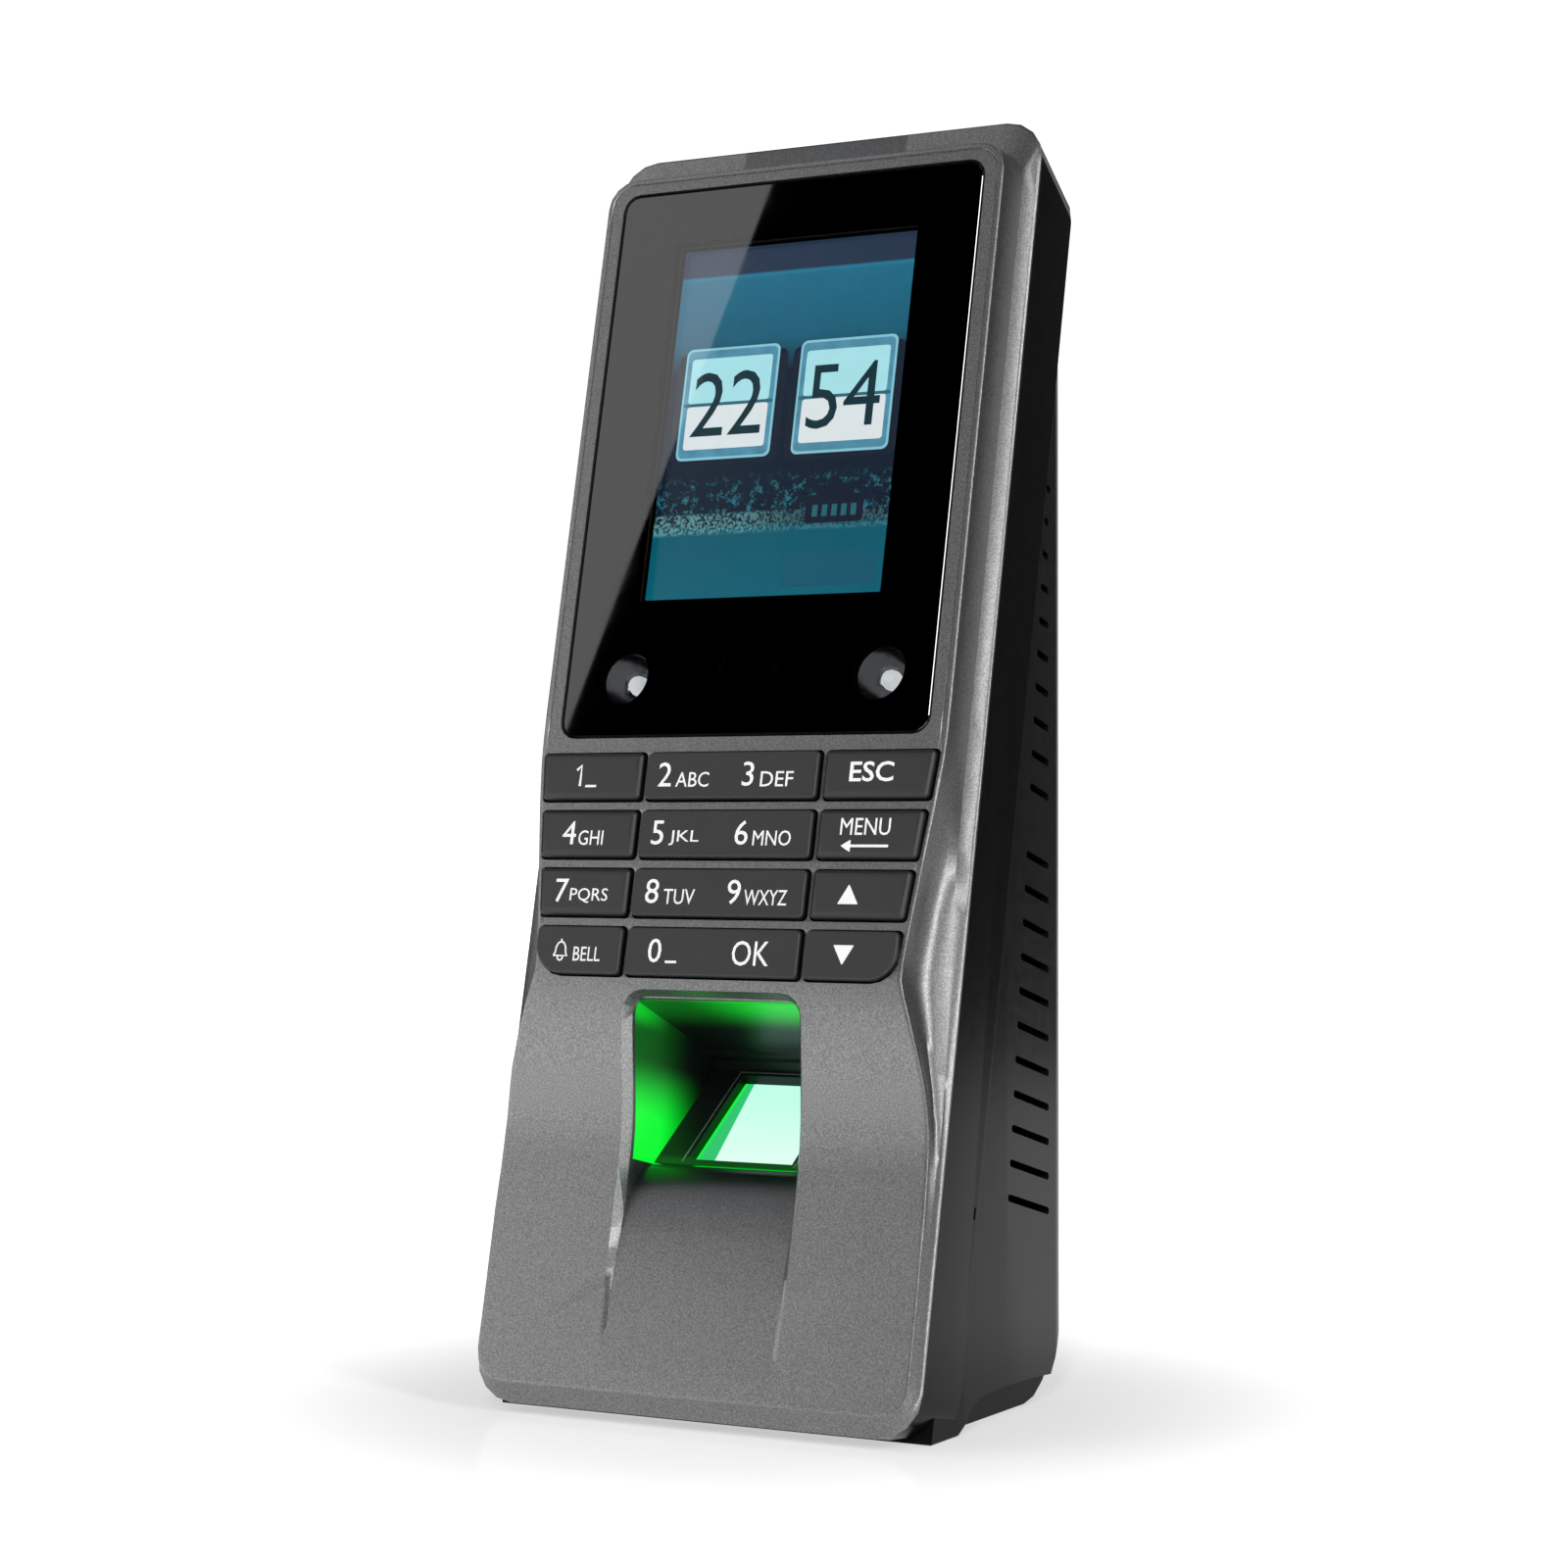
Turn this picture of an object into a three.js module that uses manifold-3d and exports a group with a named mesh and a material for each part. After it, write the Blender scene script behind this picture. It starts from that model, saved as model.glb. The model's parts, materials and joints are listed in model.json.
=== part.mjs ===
// Wall-mounted fingerprint access terminal: a tall slab that leans back on a wedge-shaped rear case.
// Units are millimetres, +Z is up and the front faces -Y. The origin is the bottom centre of the whole.
//
// Two frames are used. "slab" leans back with the front face: x across, y up along the slab and z out
// of the window towards the user, with its origin at the middle of the window's lower edge. "upright"
// stands square to the wall: x across, y up and z towards the user, so depth from the front is -z.
import * as THREE from 'three';
import { mergeVertices } from 'three/addons/utils/BufferGeometryUtils.js';
import Module from 'manifold-3d';

const wasm = await Module();
wasm.setup();

// ---- driving dimensions -------------------------------------------------------------------------
const LEAN = THREE.MathUtils.degToRad(12.57);
const FLOOR = 104.2; // window's lower edge above the underside
const DEPTH_SHIFT = -13.1; // puts the middle of the depth at y = 0
const GAP = 0.3; // clearance between neighbouring pieces

const RIM = { half: 38.5, bottom: -103.6, top: 100.2, cornerBottom: 7, cornerTop: 6.5 };
const SEAM = -7.7; // joint plane between the two shells
const PANEL = { bottom: -100.9, top: 94.1, cornerBottom: 5, cornerTop: 4.7 };
const PANEL_DROP = 4.95; // the lower panel lies this far behind the window
const WINDOW = { half: 32.5, bottom: 0, top: 91.1, corner: 2.6 };
const LCD = { half: 21.2, bottom: 22.6, top: 81.4 };
const BACK = 43.3; // the wall side, behind the window's lower edge
const SLAB_BACK = -21.7;
const WALL = 2.2;

const ROW_PITCH = 9.2;
const ROW_TOP = -2.9;
const KEY_HEIGHT = 7.45;
const KEY_PROUD = 1.2;
const COLUMN_EDGE = 15.1; // the middle key's half width
const BAR = 1.0; // bar between two columns

const CHANNEL = { half: 14.7, top: -40.65, bevel: 1.05 };
const PRISM = { half: 8.9, low: [-64.6, -15.7], high: [-49.8, -29.5], thick: 7.5 };

const VENTS = { first: 46.2, pitch: 5.3, count: 22, skipped: 10, width: 1.15, back: 36.4 };
const SCREW_X = 30.5;
const PLATE = { half: 26, bottom: -80, top: 72, thick: 1.6 };
const TAMPER = { y: 45 }; // the plunger that feels the wall plate
const TAB = { half: 6, bottom: -80, seat: -87, depth: 37, front: 32.5 }; // the plate's tab for the lock screw
const SIDES = { left: -1, right: 1 };

// ---- finishes -----------------------------------------------------------------------------------
const finish = (color, roughness, metalness) => ({ color, roughness, metalness });
const FINISHES = {
  silver: finish(0x6b6c6e, 0.42, 0.7),
  blackCase: finish(0x101112, 0.45, 0),
  blackGloss: finish(0x060607, 0.12, 0),
  window: finish(0x020203, 0.04, 0),
  keys: finish(0x2c2d2f, 0.6, 0),
  rubber: finish(0x1a1a1b, 0.85, 0),
  screen: finish(0x2a6f80, 0.3, 0),
  steel: finish(0x8d9094, 0.35, 1),
  chrome: finish(0xd5d7da, 0.08, 1),
  lens: finish(0xc9f5e2, 0.05, 0),
  board: finish(0x14532f, 0.5, 0),
  chip: finish(0x17181a, 0.5, 0),
  connector: finish(0xdedbd0, 0.5, 0),
  ribbon: finish(0xb07a2e, 0.5, 0),
};

// ---- solids -------------------------------------------------------------------------------------
function solidOf(geometry) {
  const bare = geometry.index ? geometry.toNonIndexed() : geometry.clone();
  bare.deleteAttribute('normal');
  bare.deleteAttribute('uv');
  const merged = mergeVertices(bare, 1e-4);
  const corners = merged.index.array;
  const kept = [];
  for (let i = 0; i < corners.length; i += 3) {
    const [a, b, c] = [corners[i], corners[i + 1], corners[i + 2]];
    if (a !== b && b !== c && c !== a) kept.push(a, b, c);
  }
  return new wasm.Manifold(new wasm.Mesh({
    numProp: 3,
    vertProperties: new Float32Array(merged.attributes.position.array),
    triVerts: new Uint32Array(kept),
  }));
}

function geometryOf(solid) {
  const mesh = solid.getMesh();
  const geometry = new THREE.BufferGeometry();
  geometry.setAttribute('position', new THREE.BufferAttribute(new Float32Array(mesh.vertProperties), 3));
  geometry.setIndex(new THREE.BufferAttribute(new Uint32Array(mesh.triVerts), 1));
  return geometry;
}

// Frames as matrices, so that a shape drawn in one can be cut in another.
const SLAB = new THREE.Matrix4().makeRotationX(Math.PI / 2 - LEAN).setPosition(0, DEPTH_SHIFT, FLOOR);
const UPRIGHT = new THREE.Matrix4().makeRotationX(Math.PI / 2).setPosition(0, DEPTH_SHIFT, FLOOR);
const UPRIGHT_TO_SLAB = SLAB.clone().invert().multiply(UPRIGHT);
const SLAB_TO_UPRIGHT = UPRIGHT_TO_SLAB.clone().invert();
const moved = (geometry, matrix) => geometry.clone().applyMatrix4(matrix);

// A smooth step from 0 at a to 1 at b.
const ease = (a, b, x) => THREE.MathUtils.smoothstep((x - a) / (b - a), 0, 1);

function ramp(table, x) {
  const next = table.findIndex(([at]) => at >= x);
  if (next < 0) return table[table.length - 1][1];
  if (next === 0) return table[0][1];
  const [x0, y0] = table[next - 1];
  const [x1, y1] = table[next];
  return y0 + ((y1 - y0) * (x - x0)) / (x1 - x0);
}

// As ramp, but rounded at the table's points, so that no kink shows along an edge.
function glide(table, x) {
  const next = THREE.MathUtils.clamp(table.findIndex(([at]) => at >= x), 1, table.length - 1);
  if (x <= table[0][0] || x >= table[table.length - 1][0]) return ramp(table, x);
  const slope = (i) => {
    const [before, after] = [table[Math.max(i - 1, 0)], table[Math.min(i + 1, table.length - 1)]];
    return (after[1] - before[1]) / (after[0] - before[0]);
  };
  const [x0, y0] = table[next - 1];
  const [x1, y1] = table[next];
  const width = x1 - x0;
  const t = (x - x0) / width;
  const blend = t * t * (3 - 2 * t);
  const lift = width * (t * (1 - t) ** 2 * slope(next - 1) - t * t * (1 - t) * slope(next));
  return y0 + (y1 - y0) * blend + lift;
}

// Right half of a rounded outline, from the bottom edge to the top edge. Its half width may vary.
function halfOutline({ half, bottom, top, cornerBottom, cornerTop }, stops = [], steps = 4) {
  const width = typeof half === 'function' ? half : () => half;
  const points = [];
  const low = bottom + cornerBottom;
  const high = top - cornerTop;
  for (let i = 0; i <= steps; i += 1) {
    const turn = (Math.PI / 2) * (i / steps - 1);
    points.push([width(low) - cornerBottom * (1 - Math.cos(turn)), low + cornerBottom * Math.sin(turn)]);
  }
  for (const stop of stops) points.push([width(stop), stop]);
  for (let i = 0; i <= steps; i += 1) {
    const turn = (Math.PI / 2) * (i / steps);
    points.push([width(high) - cornerTop * (1 - Math.cos(turn)), high + cornerTop * Math.sin(turn)]);
  }
  return points;
}

// A closed body through mirrored rings, given from the rear ring to the front one.
// Each ring holds the right-hand points [x, y, z], bottom to top.
function ringLoft(rings) {
  const half = rings[0].length;
  const count = half * 2;
  const position = [];
  for (const ring of rings) {
    for (const [x, y, z] of ring) position.push(x, y, z);
    for (const [x, y, z] of [...ring].reverse()) position.push(-x, y, z);
  }
  const index = [];
  const quad = (a, b, c, d) => index.push(a, b, c, a, c, d);
  for (let k = 0; k + 1 < rings.length; k += 1) {
    for (let j = 0; j < count; j += 1) {
      const next = (j + 1) % count;
      quad(k * count + j, k * count + next, (k + 1) * count + next, (k + 1) * count + j);
    }
  }
  const front = (rings.length - 1) * count;
  for (let i = 0; i + 1 < half; i += 1) {
    const left = count - 1 - i;
    quad(front + i, front + i + 1, front + left - 1, front + left);
    quad(i, left, left - 1, i + 1);
  }
  const geometry = new THREE.BufferGeometry();
  geometry.setAttribute('position', new THREE.BufferAttribute(new Float32Array(position), 3));
  geometry.setIndex(index);
  return geometry;
}

const atDepth = (points, z) => points.map(([x, y]) => [x, y, typeof z === 'function' ? z(y) : z]);

// A rounded rectangle's block between two depths, with a chamfer on its front edge.
function plate({ half, bottom, top, corner = 0.5, steps = 4 }, rear, front, chamfer = 0) {
  const outline = (inset) => halfOutline({
    half: half - inset,
    bottom: bottom + inset,
    top: top - inset,
    cornerBottom: Math.max(corner - inset, 0.05),
    cornerTop: Math.max(corner - inset, 0.05),
  }, [], steps);
  const rings = [atDepth(outline(0), rear)];
  if (chamfer > 0) {
    rings.push(atDepth(outline(0), front - chamfer), atDepth(outline(chamfer), front));
  } else {
    rings.push(atDepth(outline(0), front));
  }
  return ringLoft(rings);
}

function box(x0, x1, y0, y1, z0, z1) {
  return new THREE.BoxGeometry(x1 - x0, y1 - y0, z1 - z0)
    .translate((x0 + x1) / 2, (y0 + y1) / 2, (z0 + z1) / 2);
}

// A round bar along z, between two depths.
function bar(x, y, radius, z0, z1, sides = 20) {
  return new THREE.CylinderGeometry(radius, radius, z1 - z0, sides)
    .rotateX(Math.PI / 2)
    .translate(x, y, (z0 + z1) / 2);
}

// A turned piece whose axis is z, from a profile of [radius, z] given front to rear.
function turned(profile, x, y, sides = 24) {
  const points = profile.map(([radius, z]) => new THREE.Vector2(radius, -z));
  return new THREE.LatheGeometry(points, sides).rotateX(-Math.PI / 2).translate(x, y, 0);
}

// A side profile of [y, z] points, carried across from x0 to x1.
function acrossX(profile, x0, x1) {
  const shape = new THREE.Shape(profile.map(([y, z]) => new THREE.Vector2(y, z)));
  return new THREE.ExtrudeGeometry(shape, { depth: x1 - x0, bevelEnabled: false })
    .applyMatrix4(new THREE.Matrix4().makeBasis(
      new THREE.Vector3(0, 1, 0), new THREE.Vector3(0, 0, 1), new THREE.Vector3(1, 0, 0)))
    .translate(x0, 0, 0);
}

// A thin strip that follows a path of [y, z] points, carried across from x0 to x1.
function strip(path, thickness, x0, x1) {
  const side = (sign) => path.map(([y, z], i) => {
    const [ya, za] = path[Math.max(i - 1, 0)];
    const [yb, zb] = path[Math.min(i + 1, path.length - 1)];
    const length = Math.hypot(yb - ya, zb - za);
    const offset = (sign * thickness) / 2 / length;
    return [y - (zb - za) * offset, z + (yb - ya) * offset];
  });
  return acrossX([...side(-1), ...side(1).reverse()], x0, x1);
}

const join = (first, ...rest) => rest.reduce((sum, geometry) => sum.add(solidOf(geometry)), first);
const cut = (first, ...rest) => rest.reduce((left, geometry) => left.subtract(solidOf(geometry)), first);
const common = (first, ...rest) => rest.reduce((left, geometry) => left.intersect(solidOf(geometry)), first);

// ---- the assembly -------------------------------------------------------------------------------
const terminal = new THREE.Group();
const slab = new THREE.Group();
slab.applyMatrix4(SLAB);
const upright = new THREE.Group();
upright.applyMatrix4(UPRIGHT);
terminal.add(slab, upright);

function addPiece(group, name, geometry, finishName) {
  const mesh = new THREE.Mesh(geometry, new THREE.MeshStandardMaterial(FINISHES[finishName]));
  mesh.name = name;
  group.add(mesh);
  return mesh;
}

// ---- front shell --------------------------------------------------------------------------------
// The panel is level with the window down to the keys, then falls away in a soft S.
const panelFace = (y) => -PANEL_DROP * ease(-36, -65, y);

// Its edge draws in beside the keys to a waist and flares out again beside the finger channel.
const EDGE = [[-74, 37.45], [-66, 37.2], [-58.5, 36.9], [-53, 36.3], [-48.7, 35.35], [-43, 33.85],
  [-37.5, 32.3], [-33, 32.45], [-29, 32.9], [-20, 33.95], [-11, 35.05], [-3, 35.8], [4, 35.95]];
const panelHalf = (y) => glide(EDGE, y);

// The foot of the side wall, where it meets the flat rim.
const WALL_FOOT = -6.4;
const footHalf = (y) => 36.15 + 1.85 * ease(-16, -62, y);
const waist = (y) => ease(-2, -30, y) * (1 - ease(-44, -66, y));

const SIDE_STOPS = [-92, -80, -74, -70, -67.5, -65, -62.5, -60, -57.5, -55, -52.5, -50, -47.5, -45, -42.5,
  -40, -37.5, -35, -32.5, -30, -27, -24, -20, -16, -12, -8, -4, 0, 4, 40, 86];

function frontRings() {
  const rim = (inset) => halfOutline({
    ...RIM,
    half: RIM.half - inset,
    bottom: RIM.bottom + inset,
    top: RIM.top - inset,
  }, SIDE_STOPS);
  const foot = halfOutline({ half: footHalf, bottom: -102.4, top: 95, cornerBottom: 6.3, cornerTop: 5.2 },
    SIDE_STOPS);
  const edge = (inset) => halfOutline({
    half: (y) => panelHalf(y) - inset,
    bottom: PANEL.bottom + inset,
    top: PANEL.top - inset,
    cornerBottom: PANEL.cornerBottom,
    cornerTop: PANEL.cornerTop - inset,
  }, SIDE_STOPS);
  const crest = edge(0);
  // Between the foot and the crest the wall is hollowed out beside the keys.
  const between = (t) => foot.map(([x, y], i) => {
    const hollow = 1.5 * waist(crest[i][1]) * Math.sin(Math.PI * t);
    const z = WALL_FOOT + (panelFace(crest[i][1]) - 0.45 - WALL_FOOT) * t;
    return [x + (crest[i][0] - x) * t - hollow * 0.8, y + (crest[i][1] - y) * t, z - hollow * 0.6];
  });
  const groove = (y) => panelFace(y) - 0.22 * ease(-3, 3, y);
  return [
    atDepth(rim(0), SEAM),
    atDepth(rim(0), SEAM + 0.45),
    atDepth(rim(0.35), SEAM + 0.8),
    atDepth(foot, WALL_FOOT),
    between(0.25),
    between(0.5),
    between(0.75),
    atDepth(crest, (y) => panelFace(y) - 0.45),
    atDepth(edge(0.14), (y) => panelFace(y) - 0.14),
    atDepth(edge(0.45), panelFace),
    atDepth(edge(0.85), panelFace),
    atDepth(edge(0.98), groove),
    atDepth(edge(1.2), groove),
    atDepth(edge(1.33), panelFace),
  ];
}

const keyRowTop = (row) => ROW_TOP - row * ROW_PITCH;

// A key's outline; side is -1, 0 or 1 and the left-hand one is mirrored later.
// Outer edges follow the panel's edge, and the two lowest outer corners are large.
function keyOutline(row, side, inset) {
  const top = keyRowTop(row) - inset;
  const bottom = keyRowTop(row) - KEY_HEIGHT + inset;
  const corner = 0.8;
  const lowCorner = side !== 0 && row === 3 ? 4.6 : corner;
  const left = side === 0 ? -COLUMN_EDGE + inset : COLUMN_EDGE + BAR + inset;
  const right = (y) => (side === 0 ? COLUMN_EDGE - inset : panelHalf(y) - 1.05 - inset);
  const quarter = Math.PI / 2;
  const shape = new THREE.Shape();
  const low = bottom + lowCorner;
  shape.absarc(right(low) - lowCorner, low, lowCorner, -quarter, 0);
  shape.absarc(right(top - corner) - corner, top - corner, corner, 0, quarter);
  shape.absarc(left + corner, top - corner, corner, quarter, 2 * quarter);
  shape.absarc(left + corner, bottom + corner, corner, 2 * quarter, 3 * quarter);
  return shape;
}

// A block in a key's outline between two depths, with its front and rear edges eased by a chamfer.
function keyBlock(row, side, inset, rear, front, chamfer = 0) {
  let shape = keyOutline(row, side, inset);
  if (side < 0) {
    shape = new THREE.Shape(shape.getPoints(2).map((point) => new THREE.Vector2(-point.x, point.y)).reverse());
  }
  const settings = { depth: front - rear - 2 * chamfer, bevelEnabled: false, curveSegments: 2 };
  if (chamfer > 0) {
    Object.assign(settings, { bevelEnabled: true, bevelThickness: chamfer, bevelSize: chamfer });
    Object.assign(settings, { bevelOffset: -chamfer, bevelSegments: 1 });
  }
  return new THREE.ExtrudeGeometry(shape, settings).translate(0, 0, rear + chamfer);
}

const KEY_SIDES = [-1, 0, 1];
const KEY_ROWS = [0, 1, 2, 3];
const CEILING = -3.4; // underside of the panel around the window and the keys
const LEDGE = -2.45; // the shelf that carries the window's edge
const KEY_WELL = -6.2; // how deep the key openings cut into the shell's side walls

// The finger channel's floor: a shallow ramp that rolls over towards the prism, as [y, z] points.
const CHANNEL_RAMP = [[-97.5, -4.85], [-94, -5.06], [-88, -5.3], [-82, -5.65], [-77, -6.15], [-73, -6.85],
  [-70, -7.75], [-67.8, -8.95], [-66.2, -10.7], [-65.2, -13.2]];
const rampFloor = (y) => ramp(CHANNEL_RAMP, y);
const CHANNEL_END = -65.2; // the ramp stops here and the black lining begins

// Points laid out from the prism's lower edge: s runs up its face and t stands off the face.
const prismLength = Math.hypot(PRISM.high[0] - PRISM.low[0], PRISM.high[1] - PRISM.low[1]);
const along = [(PRISM.high[0] - PRISM.low[0]) / prismLength, (PRISM.high[1] - PRISM.low[1]) / prismLength];
function onPrism(s, t) {
  return [PRISM.low[0] + s * along[0] - t * along[1], PRISM.low[1] + s * along[1] + t * along[0]];
}

// The lining's edge lies this far under the panel's face, up to its end above the channel.
const LINING_STOPS = [-64.9, -61, -57, -53, -49, -45, -41];
const liningRim = (drop, end) => [...LINING_STOPS, end].map((y) => [y, panelFace(y) - drop]);

const UPPER_SCREW = { y: 80, frontFrom: -21, split: -29.8, seat: -33 };
const LOWER_SCREW = { y: -84, frontFrom: 12, split: -10.2, seat: -14 };
const BOSS_BACK = -41;

const LIP_STOPS = [-97, -94, -91, -88, -85, -82, -79, -76, -73, -70, -66, -62, -58, -54, -50, -47, -45.5];

function frontShell() {
  let shell = solidOf(ringLoft(frontRings()));
  // A block under the channel carries the ramp and its side walls.
  const block = [[-92, -6], [-92, -7.6], [-80, -8.3], [-73, -9.6], [-69, -12.2], [-67.6, -15.2],
    [CHANNEL_END, -15.2], [CHANNEL_END, -6]];
  shell = join(shell, acrossX([...block].reverse(), -17, 17));
  const cavity = halfOutline({ half: (y) => panelHalf(y) - 2.4, bottom: -38.4, top: 91.6, cornerBottom: 3,
    cornerTop: 3 }, SIDE_STOPS.filter((y) => y > -35 && y < 88));
  shell = cut(shell, ringLoft([atDepth(cavity, -9), atDepth(cavity, CEILING)]));
  for (const { y, frontFrom, split } of [UPPER_SCREW, LOWER_SCREW]) {
    for (const side of [-1, 1]) {
      const boss = bar(side * SCREW_X, y, 3, split + GAP, frontFrom);
      const hole = bar(side * SCREW_X, y, 1.6, split - 1, frontFrom - 4);
      shell = cut(join(shell, moved(boss, UPRIGHT_TO_SLAB)), moved(hole, UPRIGHT_TO_SLAB));
    }
  }
  const pocket = { half: WINDOW.half + GAP, bottom: WINDOW.bottom - GAP, top: WINDOW.top + GAP };
  shell = cut(
    shell,
    plate({ ...pocket, corner: WINDOW.corner + GAP }, LEDGE, 2),
    plate({ half: 29.5, bottom: 3.4, top: 87.8, corner: 2 }, -6, 1),
  );
  for (const row of KEY_ROWS) {
    for (const side of KEY_SIDES) shell = cut(shell, keyBlock(row, side, -GAP, KEY_WELL, 1.5));
  }
  // The channel: its walls, the bevel round its mouth and the pocket behind it for the lining.
  const mouth = plate({ half: CHANNEL.half, bottom: -110, top: CHANNEL.top, corner: 2.6 }, -20, 3);
  const space = [...CHANNEL_RAMP, [CHANNEL_END, -19], [-42, -19], [CHANNEL.top, 2.5], [-97.5, 2.5]];
  shell = shell.subtract(common(solidOf(mouth), acrossX(space, -20, 20)));
  const lip = (grow, depth) => atDepth(halfOutline({
    half: CHANNEL.half + grow,
    bottom: -98.2,
    top: CHANNEL.top + grow * 0.7,
    cornerBottom: 0.6,
    cornerTop: 2.6 + grow,
  }, LIP_STOPS), depth);
  const lipDepth = (y) => panelFace(y) - Math.min(1.7, Math.max(panelFace(y) - rampFloor(y), 0) + 0.02);
  shell = cut(shell, ringLoft([
    lip(-0.1, lipDepth),
    lip(CHANNEL.bevel, (y) => panelFace(y) + 0.02),
    lip(CHANNEL.bevel, 3),
  ]));
  const liningPocket = [[CHANNEL_END, -30], [CHANNEL_END, panelFace(CHANNEL_END) - 2.4],
    ...liningRim(2.4, -39.3), [-39.3, -30]];
  return geometryOf(cut(shell, acrossX(liningPocket.reverse(), -16.7, 16.7)));
}

addPiece(slab, 'front_shell', frontShell(), 'silver');

// ---- rear shell ---------------------------------------------------------------------------------
// Side profile of the wedge as [height, -depth]: square to the wall, slanted on top, round below.
function wedgeProfile(inset, floor) {
  const profile = [[floor, 30], [floor, -29.5]];
  const rise = floor + 84;
  for (let i = 1; i <= 6; i += 1) {
    const turn = (Math.PI / 2) * (i / 6);
    profile.push([-84 + rise * Math.cos(turn), -29.5 - (BACK - 29.5 - inset) * Math.sin(turn)]);
  }
  const slant = 0.693;
  const top = (depth) => 96.2 - slant * (depth - 29.1) - inset * 1.2;
  profile.push([top(BACK - inset), -(BACK - inset)], [top(-30), 30]);
  return profile;
}

function wedge(inset, floor, corner) {
  const outline = (half) => halfOutline({ half: half - inset, bottom: floor, top: 140, cornerBottom: 0.1,
    cornerTop: 0.1 }, [], 1);
  const back = -(BACK - inset);
  const rings = [
    atDepth(outline(35.3 - corner), back),
    atDepth(outline(35.3 - corner * 0.62), back + corner * 0.08),
    atDepth(outline(35.3 - corner * 0.29), back + corner * 0.29),
    atDepth(outline(35.3 - corner * 0.08), back + corner * 0.62),
    atDepth(outline(35.3), back + corner),
    atDepth(outline(36.9), -18),
    atDepth(outline(37.5), -2),
    atDepth(outline(37.5), 25),
  ];
  return common(solidOf(ringLoft(rings)), acrossX(wedgeProfile(inset, floor), -60, 60));
}

function rearShell() {
  const slabRing = (inset, lower, depth) => atDepth(halfOutline({
    ...RIM,
    half: RIM.half - inset,
    bottom: RIM.bottom + inset,
    top: RIM.top - inset - lower,
  }), depth);
  const front = SEAM - GAP;
  const outerSlab = ringLoft([
    slabRing(1.2, 6.1, SLAB_BACK),
    slabRing(0.55, 5.7, SLAB_BACK + 0.35),
    slabRing(0.2, 5.1, SLAB_BACK + 1.1),
    slabRing(0.1, 0, front),
  ]);
  const innerSlab = ringLoft([slabRing(2.6, 5.4, SLAB_BACK + 2.3), slabRing(2.4, 0, front + 2)]);
  const ahead = moved(box(-90, 90, -300, 300, -14, 200), SLAB_TO_UPRIGHT);
  const beneath = box(-90, 90, -140, -FLOOR, -90, 90);
  let shell = cut(wedge(0, -FLOOR, 3.2), ahead);
  shell = cut(shell.add(solidOf(moved(outerSlab, SLAB_TO_UPRIGHT))), beneath);
  let hollow = cut(wedge(WALL + 2.1, -99, 2), ahead);
  const wide = wedge(WALL, -99, 2).intersect(solidOf(box(-90, 90, -200, 200, -39, 90)));
  hollow = hollow.add(cut(wide, ahead)).add(solidOf(moved(innerSlab, SLAB_TO_UPRIGHT)));
  shell = shell.subtract(hollow);
  // Screw bosses run from the back wall to the front shell's bosses.
  for (const { y, split, seat } of [UPPER_SCREW, LOWER_SCREW]) {
    for (const side of [-1, 1]) {
      shell = join(shell, bar(side * SCREW_X, y, 4, BOSS_BACK, split));
      shell = cut(
        shell,
        bar(side * SCREW_X, y, 3.1, -60, seat),
        bar(side * SCREW_X, y, 1.65, -60, split + 1),
      );
    }
  }
  // The recess for the wall plate, the cable window and the tamper plunger's hole.
  const recess = { half: PLATE.half + GAP, bottom: PLATE.bottom - GAP, top: PLATE.top + GAP, corner: 4 };
  shell = cut(
    shell,
    plate(recess, -60, -(BACK - PLATE.thick - GAP)),
    plate({ half: 20, bottom: -45, top: -15, corner: 2 }, -60, -36),
    bar(0, TAMPER.y, 2.6, -60, -36),
  );
  // The security screw's tunnel comes up from the underside to the plate's bent tab.
  const post = (radius, low, high) => new THREE.CylinderGeometry(radius, radius, high - low, 20)
    .translate(0, (low + high) / 2, -TAB.depth);
  const inWedge = acrossX(wedgeProfile(0.01, -FLOOR), -60, 60);
  const solidPost = common(solidOf(post(4.8, -110, TAB.bottom - 0.4)), inWedge);
  shell = shell.add(solidPost);
  shell = cut(
    shell,
    post(3.2, -120, TAB.seat),
    post(1.7, -120, TAB.bottom + 3),
    box(-TAB.half - GAP, TAB.half + GAP, TAB.bottom - GAP, TAB.bottom + 1.9, -60, -TAB.front + GAP),
  );
  // Louvres on both sides, square to the slab, each from near the slab's back to near the wall side.
  for (let i = 0; i < VENTS.count; i += 1) {
    if (i !== VENTS.skipped) shell = cut(shell, moved(vent(VENTS.first - i * VENTS.pitch), SLAB_TO_UPRIGHT));
  }
  shell = cut(shell, moved(box(33, 45, -70.1, -68.3, -19.75, -19.1), SLAB_TO_UPRIGHT));
  // Finger recesses low on both sides.
  const arch = [[-110, 0.5], [-FLOOR, 0.2], [-103, -2.2], [-101.2, -4.4], [-100, -7.2], [-99.6, -11],
    [-99.5, -18], [-99.9, -28], [-100.6, -38], [-110, -44]];
  for (const side of [-1, 1]) {
    shell = cut(shell, acrossX([...arch].reverse(), side > 0 ? 34.4 : -50, side > 0 ? 50 : -34.4));
  }
  return geometryOf(shell);
}

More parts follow.
